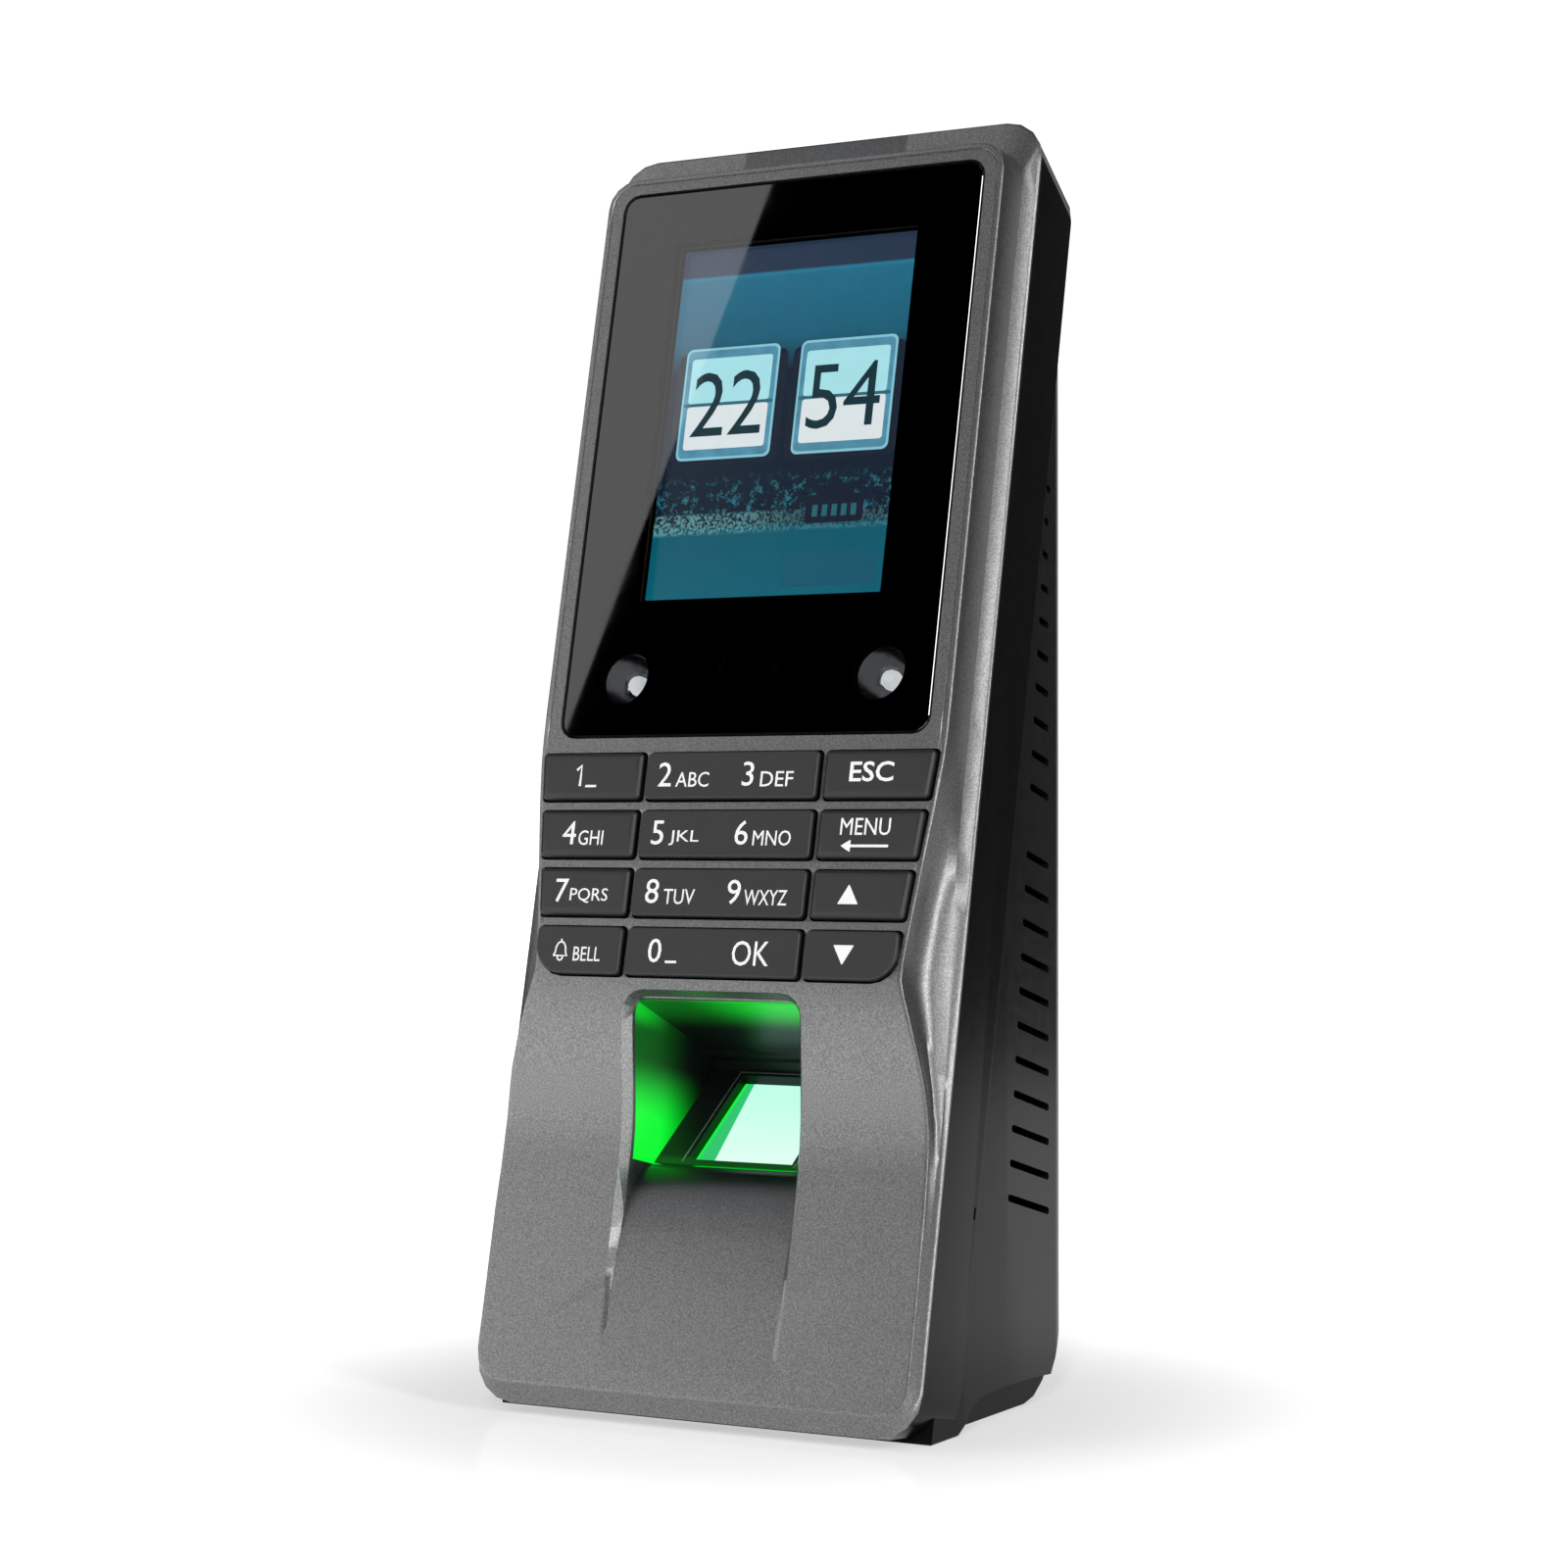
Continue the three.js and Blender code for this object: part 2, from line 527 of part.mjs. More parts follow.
// One louvre's cutter in the slab frame: a round-ended slot carried right through both side walls.
function vent(y) {
  const front = -26 - (VENTS.first - y) * 0.068;
  const rear = Math.min(-(VENTS.back - y * Math.sin(LEAN)) / Math.cos(LEAN), front - 2);
  const radius = VENTS.width / 2;
  const slot = new THREE.Shape();
  slot.absarc(front - radius, y, radius, -Math.PI / 2, Math.PI / 2);
  slot.absarc(rear + radius, y, radius, Math.PI / 2, Math.PI * 1.5);
  return new THREE.ExtrudeGeometry(slot, { depth: 100, bevelEnabled: false, curveSegments: 2 })
    .applyMatrix4(new THREE.Matrix4().makeBasis(
      new THREE.Vector3(0, 0, 1), new THREE.Vector3(0, 1, 0), new THREE.Vector3(-1, 0, 0)))
    .translate(50, 0, 0);
}

addPiece(upright, 'rear_shell', rearShell(), 'blackCase');

// ---- window and display -------------------------------------------------------------------------
addPiece(slab, 'display_window', plate(WINDOW, -1.45, -0.15, 0.25), 'window');

const GASKET_REAR = LEDGE + GAP;
const gasket = cut(
  solidOf(plate({ half: 32.3, bottom: 0.2, top: 90.9, corner: 2.4 }, GASKET_REAR, -1.75)),
  plate({ half: 29.6, bottom: 3.3, top: 87.9, corner: 2 }, -3, -1),
);
addPiece(slab, 'window_gasket', geometryOf(gasket), 'rubber');

const LAMP = { x: 22.6, y: 9.6, radius: 4.6 };
const EYE = { x: 4.9, y: 11.2 };
let mask = solidOf(plate({ half: 29.2, bottom: 3.7, top: 87.5, corner: 1.8 }, -2.25, -1.75));
mask = cut(mask, plate({ half: LCD.half, bottom: LCD.bottom, top: LCD.top, corner: 0.4, steps: 2 }, -3, -1));
for (const side of Object.values(SIDES)) {
  mask = cut(mask, bar(side * LAMP.x, LAMP.y, LAMP.radius, -3, -1), bar(side * EYE.x, EYE.y, 1.9, -3, -1, 16));
}
addPiece(slab, 'window_mask', geometryOf(mask), 'blackGloss');

const lcdSize = { half: 23.1, bottom: 20.5, top: 83.5, corner: 0.4, steps: 1 };
addPiece(slab, 'lcd_panel', plate(lcdSize, -3.75, -2.6, 0.15), 'screen');
const lcdFrame = cut(
  solidOf(plate({ half: 25, bottom: 18, top: 86.4, corner: 1, steps: 2 }, -6.6, -3)),
  plate({ half: 23.4, bottom: 20.2, top: 83.8, corner: 0.6, steps: 1 }, -4.05, -2),
);
addPiece(slab, 'lcd_frame', geometryOf(lcdFrame), 'steel');
const DISPLAY_TAIL = [[56, -7.05], [56, -9.5], [52, -13], [42, -17], [34, -20], [31.6, -21.9]];
addPiece(slab, 'display_ribbon', strip(DISPLAY_TAIL, 0.35, -20, -3), 'ribbon');

// Two lamps in polished bowls and two small cameras sit behind the lower part of the window.
const BOWL = [[0, -6.6], [1.9, -6.6], [3.1, -5.6], [3.9, -4.2], [4.3, -2.6], [4.9, -2.6], [4.9, -3.4],
  [4.4, -5.6], [3.2, -7.6], [0, -7.9]];
const LAMP_DOME = [[0, -3.9], [0.8, -4.1], [1.4, -4.7], [1.6, -5.4], [1.6, -6.25], [0, -6.25]];
const BARREL = [[1.75, -2.6], [2.5, -2.6], [2.5, -8.1], [0, -8.1], [0, -5.6], [1.75, -5.6], [1.75, -2.6]];
const EYE_LENS = [[0, -3.3], [0.7, -3.4], [1.35, -3.8], [1.35, -5.2], [0, -5.2]];
for (const [name, side] of Object.entries(SIDES)) {
  addPiece(slab, `lamp_reflector_${name}`, turned(BOWL, side * LAMP.x, LAMP.y, 20), 'chrome');
  addPiece(slab, `lamp_led_${name}`, turned(LAMP_DOME, side * LAMP.x, LAMP.y, 12), 'lens');
  addPiece(slab, `camera_barrel_${name}`, turned(BARREL, side * EYE.x, EYE.y, 12), 'blackCase');
  addPiece(slab, `camera_lens_${name}`, turned(EYE_LENS, side * EYE.x, EYE.y, 12), 'window');
}
addPiece(slab, 'camera_board', box(-28, 28, 3, 17, -9.9, -8.5), 'board');

// ---- keypad -------------------------------------------------------------------------------------
const KEY_NAMES = [
  ['key_1', 'key_2_3', 'key_esc'],
  ['key_4', 'key_5_6', 'key_menu'],
  ['key_7', 'key_8_9', 'key_up'],
  ['key_bell', 'key_0_ok', 'key_down'],
];
const FLANGE = { front: -4.2, rear: -4.9, reach: 0.55 };
const keyMiddle = (row) => keyRowTop(row) - KEY_HEIGHT / 2;
const keyCentre = (row, side) => (side * (COLUMN_EDGE + BAR + panelHalf(keyMiddle(row)) - 1.05)) / 2;

// A cap reaches through the panel; a flange above and below it stops it from being pulled out.
function keyCap(row, side) {
  const half = side === 0 ? 12 : 5;
  const x = keyCentre(row, side);
  // The shell's wall is close under the last row.
  const below = row === KEY_ROWS.length - 1 ? -0.6 : FLANGE.reach;
  const flange = box(x - half, x + half, keyRowTop(row) - KEY_HEIGHT - below, keyRowTop(row) + FLANGE.reach,
    FLANGE.rear, FLANGE.front);
  return geometryOf(join(solidOf(keyBlock(row, side, 0, FLANGE.rear, KEY_PROUD, 0.3)), flange));
}

let membrane = solidOf(plate({ half: 28, bottom: -37.4, top: -2.4, corner: 2, steps: 2 }, -8.9, -8.1));
for (const row of KEY_ROWS) {
  for (const side of KEY_SIDES) {
    addPiece(slab, KEY_NAMES[row][side + 1], keyCap(row, side), 'keys');
    const domes = side === 0 ? [-8, 8] : [keyCentre(row, side)];
    for (const x of domes) membrane = join(membrane, bar(x, keyMiddle(row), 1.8, -8.5, -5.85, 6));
  }
}
addPiece(slab, 'keypad_membrane', geometryOf(membrane), 'rubber');
addPiece(slab, 'keypad_board', box(-28, 28, -37.4, -2.4, -10.8, -9.2), 'board');
const KEYPAD_TAIL = [[-30, -11.2], [-30, -14], [-28, -20], [-25.5, -27], [-24.2, -33.2]];
addPiece(slab, 'keypad_ribbon', strip(KEYPAD_TAIL, 0.35, -8, 8), 'ribbon');

// ---- fingerprint sensor -------------------------------------------------------------------------
// A black lining makes the deep walls of the channel and the frame round the glowing prism.
const liningOutside = [[-64.9, -16.1], ...liningRim(2.75, -39.7), [-39.7, -6],
  [-43.4, -25.3], [-44.3, -31.8], onPrism(22.4, -1), onPrism(0.4, -1)];
const liningInside = [[-67, 6], [-67, -12.2], [-64.9, -13.7], onPrism(21.8, 1.3), [-46.4, -28.6], [-46, -26.2],
  [-45.2, -25.5], [-41, -2], [-41, 6]];
const lining = cut(
  solidOf(acrossX([...liningOutside].reverse(), -16.3, 16.3)),
  acrossX(liningInside, -14.9, 14.9),
  acrossX([onPrism(-GAP, -4), onPrism(prismLength + GAP, -4), onPrism(prismLength + GAP, 4), onPrism(-GAP, 4)],
    -PRISM.half - GAP, PRISM.half + GAP),
);
addPiece(slab, 'sensor_lining', geometryOf(lining), 'blackGloss');

const prismSide = [onPrism(1.6, -PRISM.thick), onPrism(prismLength - 1.6, -PRISM.thick),
  onPrism(prismLength, -0.25), onPrism(prismLength - 0.25, 0), onPrism(0.25, 0), onPrism(0, -0.25)];
addPiece(slab, 'sensor_prism', acrossX(prismSide, -PRISM.half, PRISM.half), 'lens');

const housing = cut(
  solidOf(acrossX([onPrism(-1.4, -10), onPrism(23, -10), onPrism(23, -1.3), onPrism(-1.4, -1.3)], -12, 12)),
  acrossX([onPrism(-GAP, -PRISM.thick - GAP), onPrism(prismLength + GAP, -PRISM.thick - GAP),
    onPrism(prismLength + GAP, 0), onPrism(-GAP, 0)], -PRISM.half - GAP, PRISM.half + GAP),
);
addPiece(slab, 'sensor_housing', geometryOf(housing), 'blackCase');
const sensorBoard = [onPrism(-1.4, -11.7), onPrism(23, -11.7), onPrism(23, -10.3), onPrism(-1.4, -10.3)];
addPiece(slab, 'sensor_board', acrossX(sensorBoard, -12, 12), 'board');

// ---- main board and what it carries -------------------------------------------------------------
const BOARD = { half: 26, bottom: -94, top: 56, front: -29, rear: -30.6 };
const boardFront = BOARD.front + GAP;
const boardRear = BOARD.rear - GAP;
const mainBoard = box(-BOARD.half, BOARD.half, BOARD.bottom, BOARD.top, BOARD.rear, BOARD.front);
addPiece(upright, 'main_board', mainBoard, 'board');
addPiece(upright, 'processor', box(7, 21, -4, 10, boardFront, boardFront + 1.4), 'chip');
addPiece(upright, 'door_relay', box(-23, -8, -93, -79.5, boardFront, boardFront + 15), 'chip');
const cellHolder = cut(
  solidOf(bar(-12, -8, 11.2, boardFront, boardFront + 4.4, 24)),
  bar(-12, -8, 10.3, boardFront + 0.9, boardFront + 6, 24),
);
addPiece(upright, 'cell_holder', geometryOf(cellHolder), 'blackCase');
addPiece(upright, 'backup_cell', bar(-12, -8, 10, boardFront + 1.2, boardFront + 4.2, 24), 'steel');
const SPEAKER = [[0, -20.6], [4, -20.6], [5, -19.6], [11.2, -19.6], [12, -20.6], [12, -23], [6, -24],
  [6, -28.5], [0, -28.5]];
addPiece(upright, 'speaker', turned(SPEAKER, 12, 27, 20), 'chip');

// Pin sockets face the cable window in the back.
function header(x, y, across, high, ways) {
  const left = x - across / 2;
  let block = solidOf(box(left, left + across, y - high / 2, y + high / 2, boardRear - 5, boardRear));
  const pitch = across / ways;
  for (let i = 0; i < ways; i += 1) {
    const middle = left + pitch * (i + 0.5);
    const socket = box(middle - pitch * 0.3, middle + pitch * 0.3, y - high * 0.3, y + high * 0.3,
      boardRear - 6, boardRear - 1.2);
    block = cut(block, socket);
  }
  return geometryOf(block);
}
addPiece(upright, 'network_header', header(-7.5, -23, 14, 6, 4), 'connector');
addPiece(upright, 'power_header', header(9.5, -23, 10, 6, 3), 'connector');
addPiece(upright, 'lock_header', header(0, -36, 26, 6.5, 8), 'connector');

// ---- tamper switch and reset switch -------------------------------------------------------------
addPiece(upright, 'tamper_switch', box(-5, 5, TAMPER.y - 5, TAMPER.y + 5, boardRear - 2.1, boardRear), 'chip');
const PLUNGER = [[0, -34.6], [1.2, -34.6], [1.2, -37.4], [3.2, -37.4], [3.2, -38.5], [2.2, -38.5], [2.2, -42.7],
  [1.8, -43.2], [0, -43.2]];
addPiece(upright, 'tamper_plunger', turned(PLUNGER, 0, TAMPER.y, 14), 'connector');

const RESET = { y: -71.6, depth: -3.9 };
const resetBoard = box(25.2, 26.6, RESET.y - 7, RESET.y + 7, RESET.depth - 6, RESET.depth + 5);
addPiece(upright, 'reset_board', resetBoard, 'board');
const resetSwitch = box(26.9, 32.3, RESET.y - 3, RESET.y + 3, RESET.depth - 3, RESET.depth + 3);
addPiece(upright, 'reset_switch', resetSwitch, 'chip');
addPiece(upright, 'reset_button', new THREE.CylinderGeometry(1.1, 1.1, 2, 12)
  .rotateZ(Math.PI / 2)
  .translate(33.85, RESET.y, RESET.depth), 'connector');

// ---- wall plate and screws ----------------------------------------------------------------------
const plateFront = -(BACK - PLATE.thick);
let wallPlate = solidOf(plate({ ...PLATE, corner: 3.7 }, -BACK, plateFront));
const tab = box(-TAB.half, TAB.half, TAB.bottom, TAB.bottom + PLATE.thick, plateFront - 0.5, -TAB.front);
wallPlate = join(wallPlate, tab);
wallPlate = cut(
  wallPlate,
  plate({ half: 18, bottom: -43, top: -17, corner: 2 }, -60, -40),
  bar(0, TAMPER.y, 3.2, -60, -40),
  new THREE.CylinderGeometry(1.5, 1.5, 8, 16).translate(0, TAB.bottom, -TAB.depth),
);
for (const [x, y] of [[-18, 60], [18, 60], [-18, -66], [18, -66], [0, 12]]) {
  wallPlate = cut(wallPlate, bar(x, y, 2.1, -60, -40, 16));
}
addPiece(upright, 'wall_plate', geometryOf(wallPlate), 'steel');

// A socket-head screw pointing along +z, with its head's top at z = 0.
const HEAD = 2; // height of a screw's head
function screw(shank) {
  const end = HEAD + shank;
  const shaft = [[0, end], [0.5, end], [1.25, end - 0.8], [1.25, HEAD]];
  const profile = [...shaft, [2.7, HEAD], [2.7, 0.5], [2.2, 0], [0, 0]];
  const socket = new THREE.CylinderGeometry(1.25, 1.25, 2.4, 6).rotateX(Math.PI / 2);
  return geometryOf(cut(solidOf(turned(profile, 0, 0, 12)), socket));
}
for (const [level, { y, seat }] of Object.entries({ upper: UPPER_SCREW, lower: LOWER_SCREW })) {
  for (const [name, side] of Object.entries(SIDES)) {
    const piece = screw(8).translate(side * SCREW_X, y, seat - GAP - HEAD);
    addPiece(upright, `case_screw_${level}_${name}`, piece, 'steel');
  }
}
const security = screw(10).rotateX(-Math.PI / 2).translate(0, TAB.seat - GAP - HEAD, -TAB.depth);
addPiece(upright, 'security_screw', security, 'steel');

export default terminal;
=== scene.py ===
import json
import math
from contextlib import contextmanager

import bpy
from bpy.props import FloatProperty, FloatVectorProperty, IntProperty, PointerProperty, StringProperty
from mathutils import Euler, Matrix, Vector


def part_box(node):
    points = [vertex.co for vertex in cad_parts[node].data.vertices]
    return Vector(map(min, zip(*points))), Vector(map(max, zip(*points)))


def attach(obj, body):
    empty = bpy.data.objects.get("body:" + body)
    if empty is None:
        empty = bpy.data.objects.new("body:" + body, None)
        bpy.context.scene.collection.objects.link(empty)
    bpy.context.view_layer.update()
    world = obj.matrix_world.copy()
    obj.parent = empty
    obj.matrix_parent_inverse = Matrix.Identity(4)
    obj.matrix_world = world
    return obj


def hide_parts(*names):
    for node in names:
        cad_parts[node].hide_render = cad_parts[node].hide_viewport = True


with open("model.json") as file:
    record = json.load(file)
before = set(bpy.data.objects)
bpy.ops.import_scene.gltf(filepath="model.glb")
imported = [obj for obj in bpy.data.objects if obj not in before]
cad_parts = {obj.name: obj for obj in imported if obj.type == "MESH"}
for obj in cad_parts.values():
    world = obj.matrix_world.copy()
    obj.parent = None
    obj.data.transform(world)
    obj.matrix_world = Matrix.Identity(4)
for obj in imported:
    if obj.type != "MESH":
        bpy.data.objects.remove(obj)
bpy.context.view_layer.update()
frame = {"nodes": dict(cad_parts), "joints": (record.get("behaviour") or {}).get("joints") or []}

bl_info = {
    "name": "Fingerprint Terminal",
    "version": (1, 0, 0),
    "blender": (4, 5, 0),
    "location": "3D View > Sidebar > Terminal",
    "description": "Dresses the fingerprint terminal's frame with finished pieces, materials and a studio",
    "category": "Object",
}

# ---- the slab's own frame ------------------------------------------------------------------------
# Most pieces lie on the slab, which leans back. They are modelled flat, in millimetres: x across,
# y up the slab from the window's lower edge, z out of the glass. settle() then puts them in place.
MM = 0.001
JOINTS = {joint["name"]: joint for joint in frame["joints"]}
PRESS = JOINTS["key_1_press"]["axis"]
LEAN = math.atan2(-PRESS[2], PRESS[1])
GLASS_LOW, GLASS_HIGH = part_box("display_window")
GLASS_REAR, GLASS_FRONT = -1.45, -0.15
ORIGIN = Vector((
    0.0,
    GLASS_LOW.y + GLASS_FRONT * MM * math.cos(LEAN),
    GLASS_LOW.z - GLASS_REAR * MM * math.sin(LEAN),
))
TILT = math.pi / 2 - LEAN
SLAB = Matrix.Translation(ORIGIN) @ Matrix.Rotation(TILT, 4, "X") @ Matrix.Scale(MM, 4)

WINDOW_HALF = GLASS_HIGH.x / MM
WINDOW_TOP = 91.1
LCD_LEFT, LCD_RIGHT, LCD_BOTTOM, LCD_TOP = -21.2, 21.2, 22.6, 81.4
LCD_FACE = -2.6

ROW_TOP, ROW_PITCH, KEY_HEIGHT = -2.9, 9.2, 7.45
KEY_FACE, KEY_REAR = 1.2, -4.9
COLUMN_EDGE, BAR = 15.1, 1.0
KEY_NAMES = (
    ("key_1", "key_2_3", "key_esc"),
    ("key_4", "key_5_6", "key_menu"),
    ("key_7", "key_8_9", "key_up"),
    ("key_bell", "key_0_ok", "key_down"),
)

KEYPAD_HALF, KEYPAD_TOP, KEYPAD_LOW = 29.8, -2.15, -39.05
CHANNEL_HALF = 14.8

PRISM_LOW, PRISM_HIGH = Vector((0, -64.6, -15.7)), Vector((0, -49.8, -29.5))
PRISM_HALF = 8.9


# ---- modelling helpers ---------------------------------------------------------------------------
def alone(*pieces):
    """Selects only these pieces and makes the first one active."""
    bpy.ops.object.select_all(action="DESELECT")
    for piece in pieces:
        piece.select_set(True)
    bpy.context.view_layer.objects.active = pieces[0]


@contextmanager
def editing(piece, verts=None, edges=None):
    """Edit mode on a piece, with what passes the given test selected, or everything."""
    alone(piece)
    mesh = piece.data
    everything = verts is None and edges is None
    for element in (*mesh.vertices, *mesh.edges, *mesh.polygons):
        element.select = everything
    kind = "EDGE" if edges else "VERT"
    if verts:
        for vertex in mesh.vertices:
            vertex.select = verts(vertex.co)
    if edges:
        for edge in mesh.edges:
            edge.select = edges(*(mesh.vertices[i].co for i in edge.vertices))
            if edge.select:
                for i in edge.vertices:
                    mesh.vertices[i].select = True
    bpy.ops.object.mode_set(mode="EDIT")
    bpy.ops.mesh.select_mode(type=kind)
    yield
    bpy.ops.object.mode_set(mode="OBJECT")


def apply_place(piece):
    alone(piece)
    bpy.ops.object.transform_apply(location=True, rotation=True, scale=True)


def settle(piece):
    """Carries a piece from the flat slab frame to its place, and leaves its object at the origin."""
    apply_place(piece)
    piece.matrix_world = SLAB
    apply_place(piece)
    return piece


def dress(piece, material, body):
    """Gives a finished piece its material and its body."""
    piece.data.materials.clear()
    piece.data.materials.append(material)
    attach(piece, body)
    return piece


def smooth(piece, degrees=35):
    alone(piece)
    bpy.ops.object.shade_smooth_by_angle(angle=math.radians(degrees))


def modify(piece, kind, **settings):
    """Adds one modifier and applies it."""
    alone(piece)
    modifier = piece.modifiers.new(kind.lower(), kind)
    for name, value in settings.items():
        setattr(modifier, name, value)
    bpy.ops.object.modifier_apply(modifier=modifier.name)


def block(name, x, y, z, corner=0.0, edge=0.0):
    """A block between the given (low, high) pairs, with rounded upright corners and eased front edges."""
    bpy.ops.object.select_all(action="DESELECT")
    middle = [(pair[0] + pair[1]) / 2 for pair in (x, y, z)]
    bpy.ops.mesh.primitive_cube_add(size=1, location=middle)
    piece = bpy.context.object
    piece.name = name
    piece.scale = [pair[1] - pair[0] for pair in (x, y, z)]
    apply_place(piece)
    if corner:
        with editing(piece, edges=lambda a, b: abs(a.z - b.z) > 1e-6):
            bpy.ops.mesh.bevel(offset=corner, segments=4, affect="EDGES")
    if edge:
        ease_front(piece, z[1], edge)
    return piece


def ease_front(piece, level, edge, steps=3):
    """Rounds the edges that lie in the plane z = level."""
    def in_front(a, b):
        return a.z > level - 1e-4 and b.z > level - 1e-4

    with editing(piece, edges=in_front):
        bpy.ops.mesh.bevel(offset=edge, segments=steps, affect="EDGES")


def join_all(name, pieces):
    alone(*pieces)
    bpy.ops.object.join()
    joined = bpy.context.object
    joined.name = name
    return joined


def refined(node, name, degrees=35, edge=0.0, flat=0.02):
    """A copy of a CAD node with its corners merged and its shading smooth, which then replaces the node."""
    piece = bpy.data.objects.new(name, frame["nodes"][node].data.copy())
    bpy.context.scene.collection.objects.link(piece)
    alone(piece)
    if piece.data.has_custom_normals:
        bpy.ops.mesh.customdata_custom_splitnormals_clear()
    with editing(piece):
        bpy.ops.mesh.remove_doubles(threshold=2e-6)
        bpy.ops.mesh.dissolve_limited(angle_limit=math.radians(flat))
    if edge:
        modify(piece, "BEVEL", width=edge * MM, segments=2, limit_method="ANGLE",
               angle_limit=math.radians(38), use_clamp_overlap=True, miter_outer="MITER_ARC")
    smooth(piece, degrees)
    modify(piece, "WEIGHTED_NORMAL", keep_sharp=True)
    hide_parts(node)
    return piece


def lettering(text, x, base, height, z, spread=None, weight=0.0):
    """Raised lettering from x rightwards, height tall above its base line, spread wide when given."""
    bpy.ops.object.select_all(action="DESELECT")
    bpy.ops.object.text_add()
    piece = bpy.context.object
    piece.data.body = text
    piece.data.extrude = 0.02
    piece.data.offset = weight
    piece.data.resolution_u = 3
    bpy.ops.object.convert(target="MESH")
    piece = bpy.context.object
    low, high = extent(piece)
    tall = height / (high.y - low.y)
    wide = spread / (high.x - low.x) if spread else tall
    piece.scale = (wide, tall, 1)
    piece.location = (x - low.x * wide, base - low.y * tall, z)
    apply_place(piece)
    return piece


def extent(piece):
    corners = [vertex.co for vertex in piece.data.vertices]
    low = Vector([min(corner[i] for corner in corners) for i in range(3)])
    high = Vector([max(corner[i] for corner in corners) for i in range(3)])
    return low, high


def triangle(name, x, y, z, size, turn):
    """A small filled triangle whose tip points up at turn = 0."""
    bpy.ops.object.select_all(action="DESELECT")
    bpy.ops.mesh.primitive_cylinder_add(vertices=3, radius=size, depth=0.04, location=(x, y, z))
    piece = bpy.context.object
    piece.name = name
    piece.rotation_euler = (0, 0, turn)
    apply_place(piece)
    with editing(piece, edges=lambda a, b: abs(a.z - b.z) > 1e-6):
        bpy.ops.mesh.bevel(offset=0.12, segments=2, affect="EDGES")
    return piece


# ---- shader helpers ------------------------------------------------------------------------------
class Value:
    """A shader socket whose arithmetic adds Math nodes."""

    def __init__(self, finish, socket):
        self.finish = finish
        self.socket = socket

    def maths(self, operation, first, second):
        return self.finish.add("ShaderNodeMath", {0: first, 1: second}, operation=operation)

    def __add__(self, other):
        return self.maths("ADD", self, other)

    __radd__ = __add__

    def __sub__(self, other):
        return self.maths("SUBTRACT", self, other)

    def __rsub__(self, other):
        return self.maths("SUBTRACT", other, self)

    def __mul__(self, other):
        return self.maths("MULTIPLY", self, other)

    __rmul__ = __mul__


class Finish:
    """A material under construction."""

    def __init__(self, name):
        self.material = bpy.data.materials.new(name)
        self.material.use_nodes = True
        self.tree = self.material.node_tree
        self.tree.nodes.clear()

    def add(self, kind, inputs=None, output=0, stops=None, **settings):
        """Adds a node: its settings first, then its sockets' values or links. Returns one output."""
        node = self.tree.nodes.new(kind)
        for name, value in settings.items():
            setattr(node, name, value)
        if stops:
            ramp = node.color_ramp
            while len(ramp.elements) < len(stops):
                ramp.elements.new(0.5)
            for element, (position, colour) in zip(ramp.elements, stops):
                element.position = position
                element.color = (*colour, 1)
        for name, value in (inputs or {}).items():
            if isinstance(value, Value):
                self.tree.links.new(value.socket, node.inputs[name])
            elif isinstance(value, tuple) and len(value) == 3 and node.inputs[name].type == "RGBA":
                node.inputs[name].default_value = (*value, 1)
            else:
                node.inputs[name].default_value = value
        return Value(self, node.outputs[output])

    def place(self):
        """The row frame's coordinates on the piece, in metres."""
        return self.add("ShaderNodeTexCoord", output="Object")

    def on_slab(self):
        """Coordinates in the slab's frame, in millimetres, as x, y and z."""
        turned = Euler((-TILT, 0, 0)).to_matrix() @ ORIGIN
        mapped = self.add("ShaderNodeMapping", {
            "Vector": self.place(),
            "Scale": (1 / MM, 1 / MM, 1 / MM),
            "Rotation": (-TILT, 0, 0),
            "Location": tuple(-turned / MM),
        })
        return [self.add("ShaderNodeSeparateXYZ", {0: mapped}, output=i) for i in range(3)]

    def step(self, value, low, high):
        """Rises smoothly from 0 at low to 1 at high. Low may be the larger of the two."""
        if low > high:
            return 1 - self.step(value, high, low)
        return self.add("ShaderNodeMapRange", {"Value": value, "From Min": low, "From Max": high},
                        interpolation_type="SMOOTHSTEP")

    def within(self, value, low, high, blur):
        """1 between low and high and 0 outside, with edges blur wide."""
        half = blur / 2
        return self.step(value, low - half, low + half) * self.step(value, high + half, high - half)

    def noise(self, size, detail=2.0, roughness=0.5):
        """Noise whose features are about size millimetres across."""
        return self.add("ShaderNodeTexNoise", {
            "Vector": self.place(), "Scale": 1 / (size * MM), "Detail": detail, "Roughness": roughness})

    def mix(self, factor, first, second):
        return self.add("ShaderNodeMix", {0: factor, 6: first, 7: second}, output=2, data_type="RGBA")

    def bump(self, height, strength, distance):
        return self.add("ShaderNodeBump", {
            "Height": height, "Strength": strength, "Distance": distance * MM})

    def surface(self, **sockets):
        """Ends the material in a Principled BSDF with these sockets."""
        named = {name.replace("_", " "): value for name, value in sockets.items()}
        shader = self.add("ShaderNodeBsdfPrincipled", named)
        return self.end(shader)

    def end(self, shader):
        """Joins the shader to the material's output. Returns the material."""
        node = self.tree.nodes.new("ShaderNodeOutputMaterial")
        self.tree.links.new(shader.socket, node.inputs["Surface"])
        return self.material


def shades(colour, spread):
    """A darker and a lighter version of a colour."""
    return tuple(c * (1 - spread) for c in colour), tuple(min(c * (1 + spread), 1.0) for c in colour)


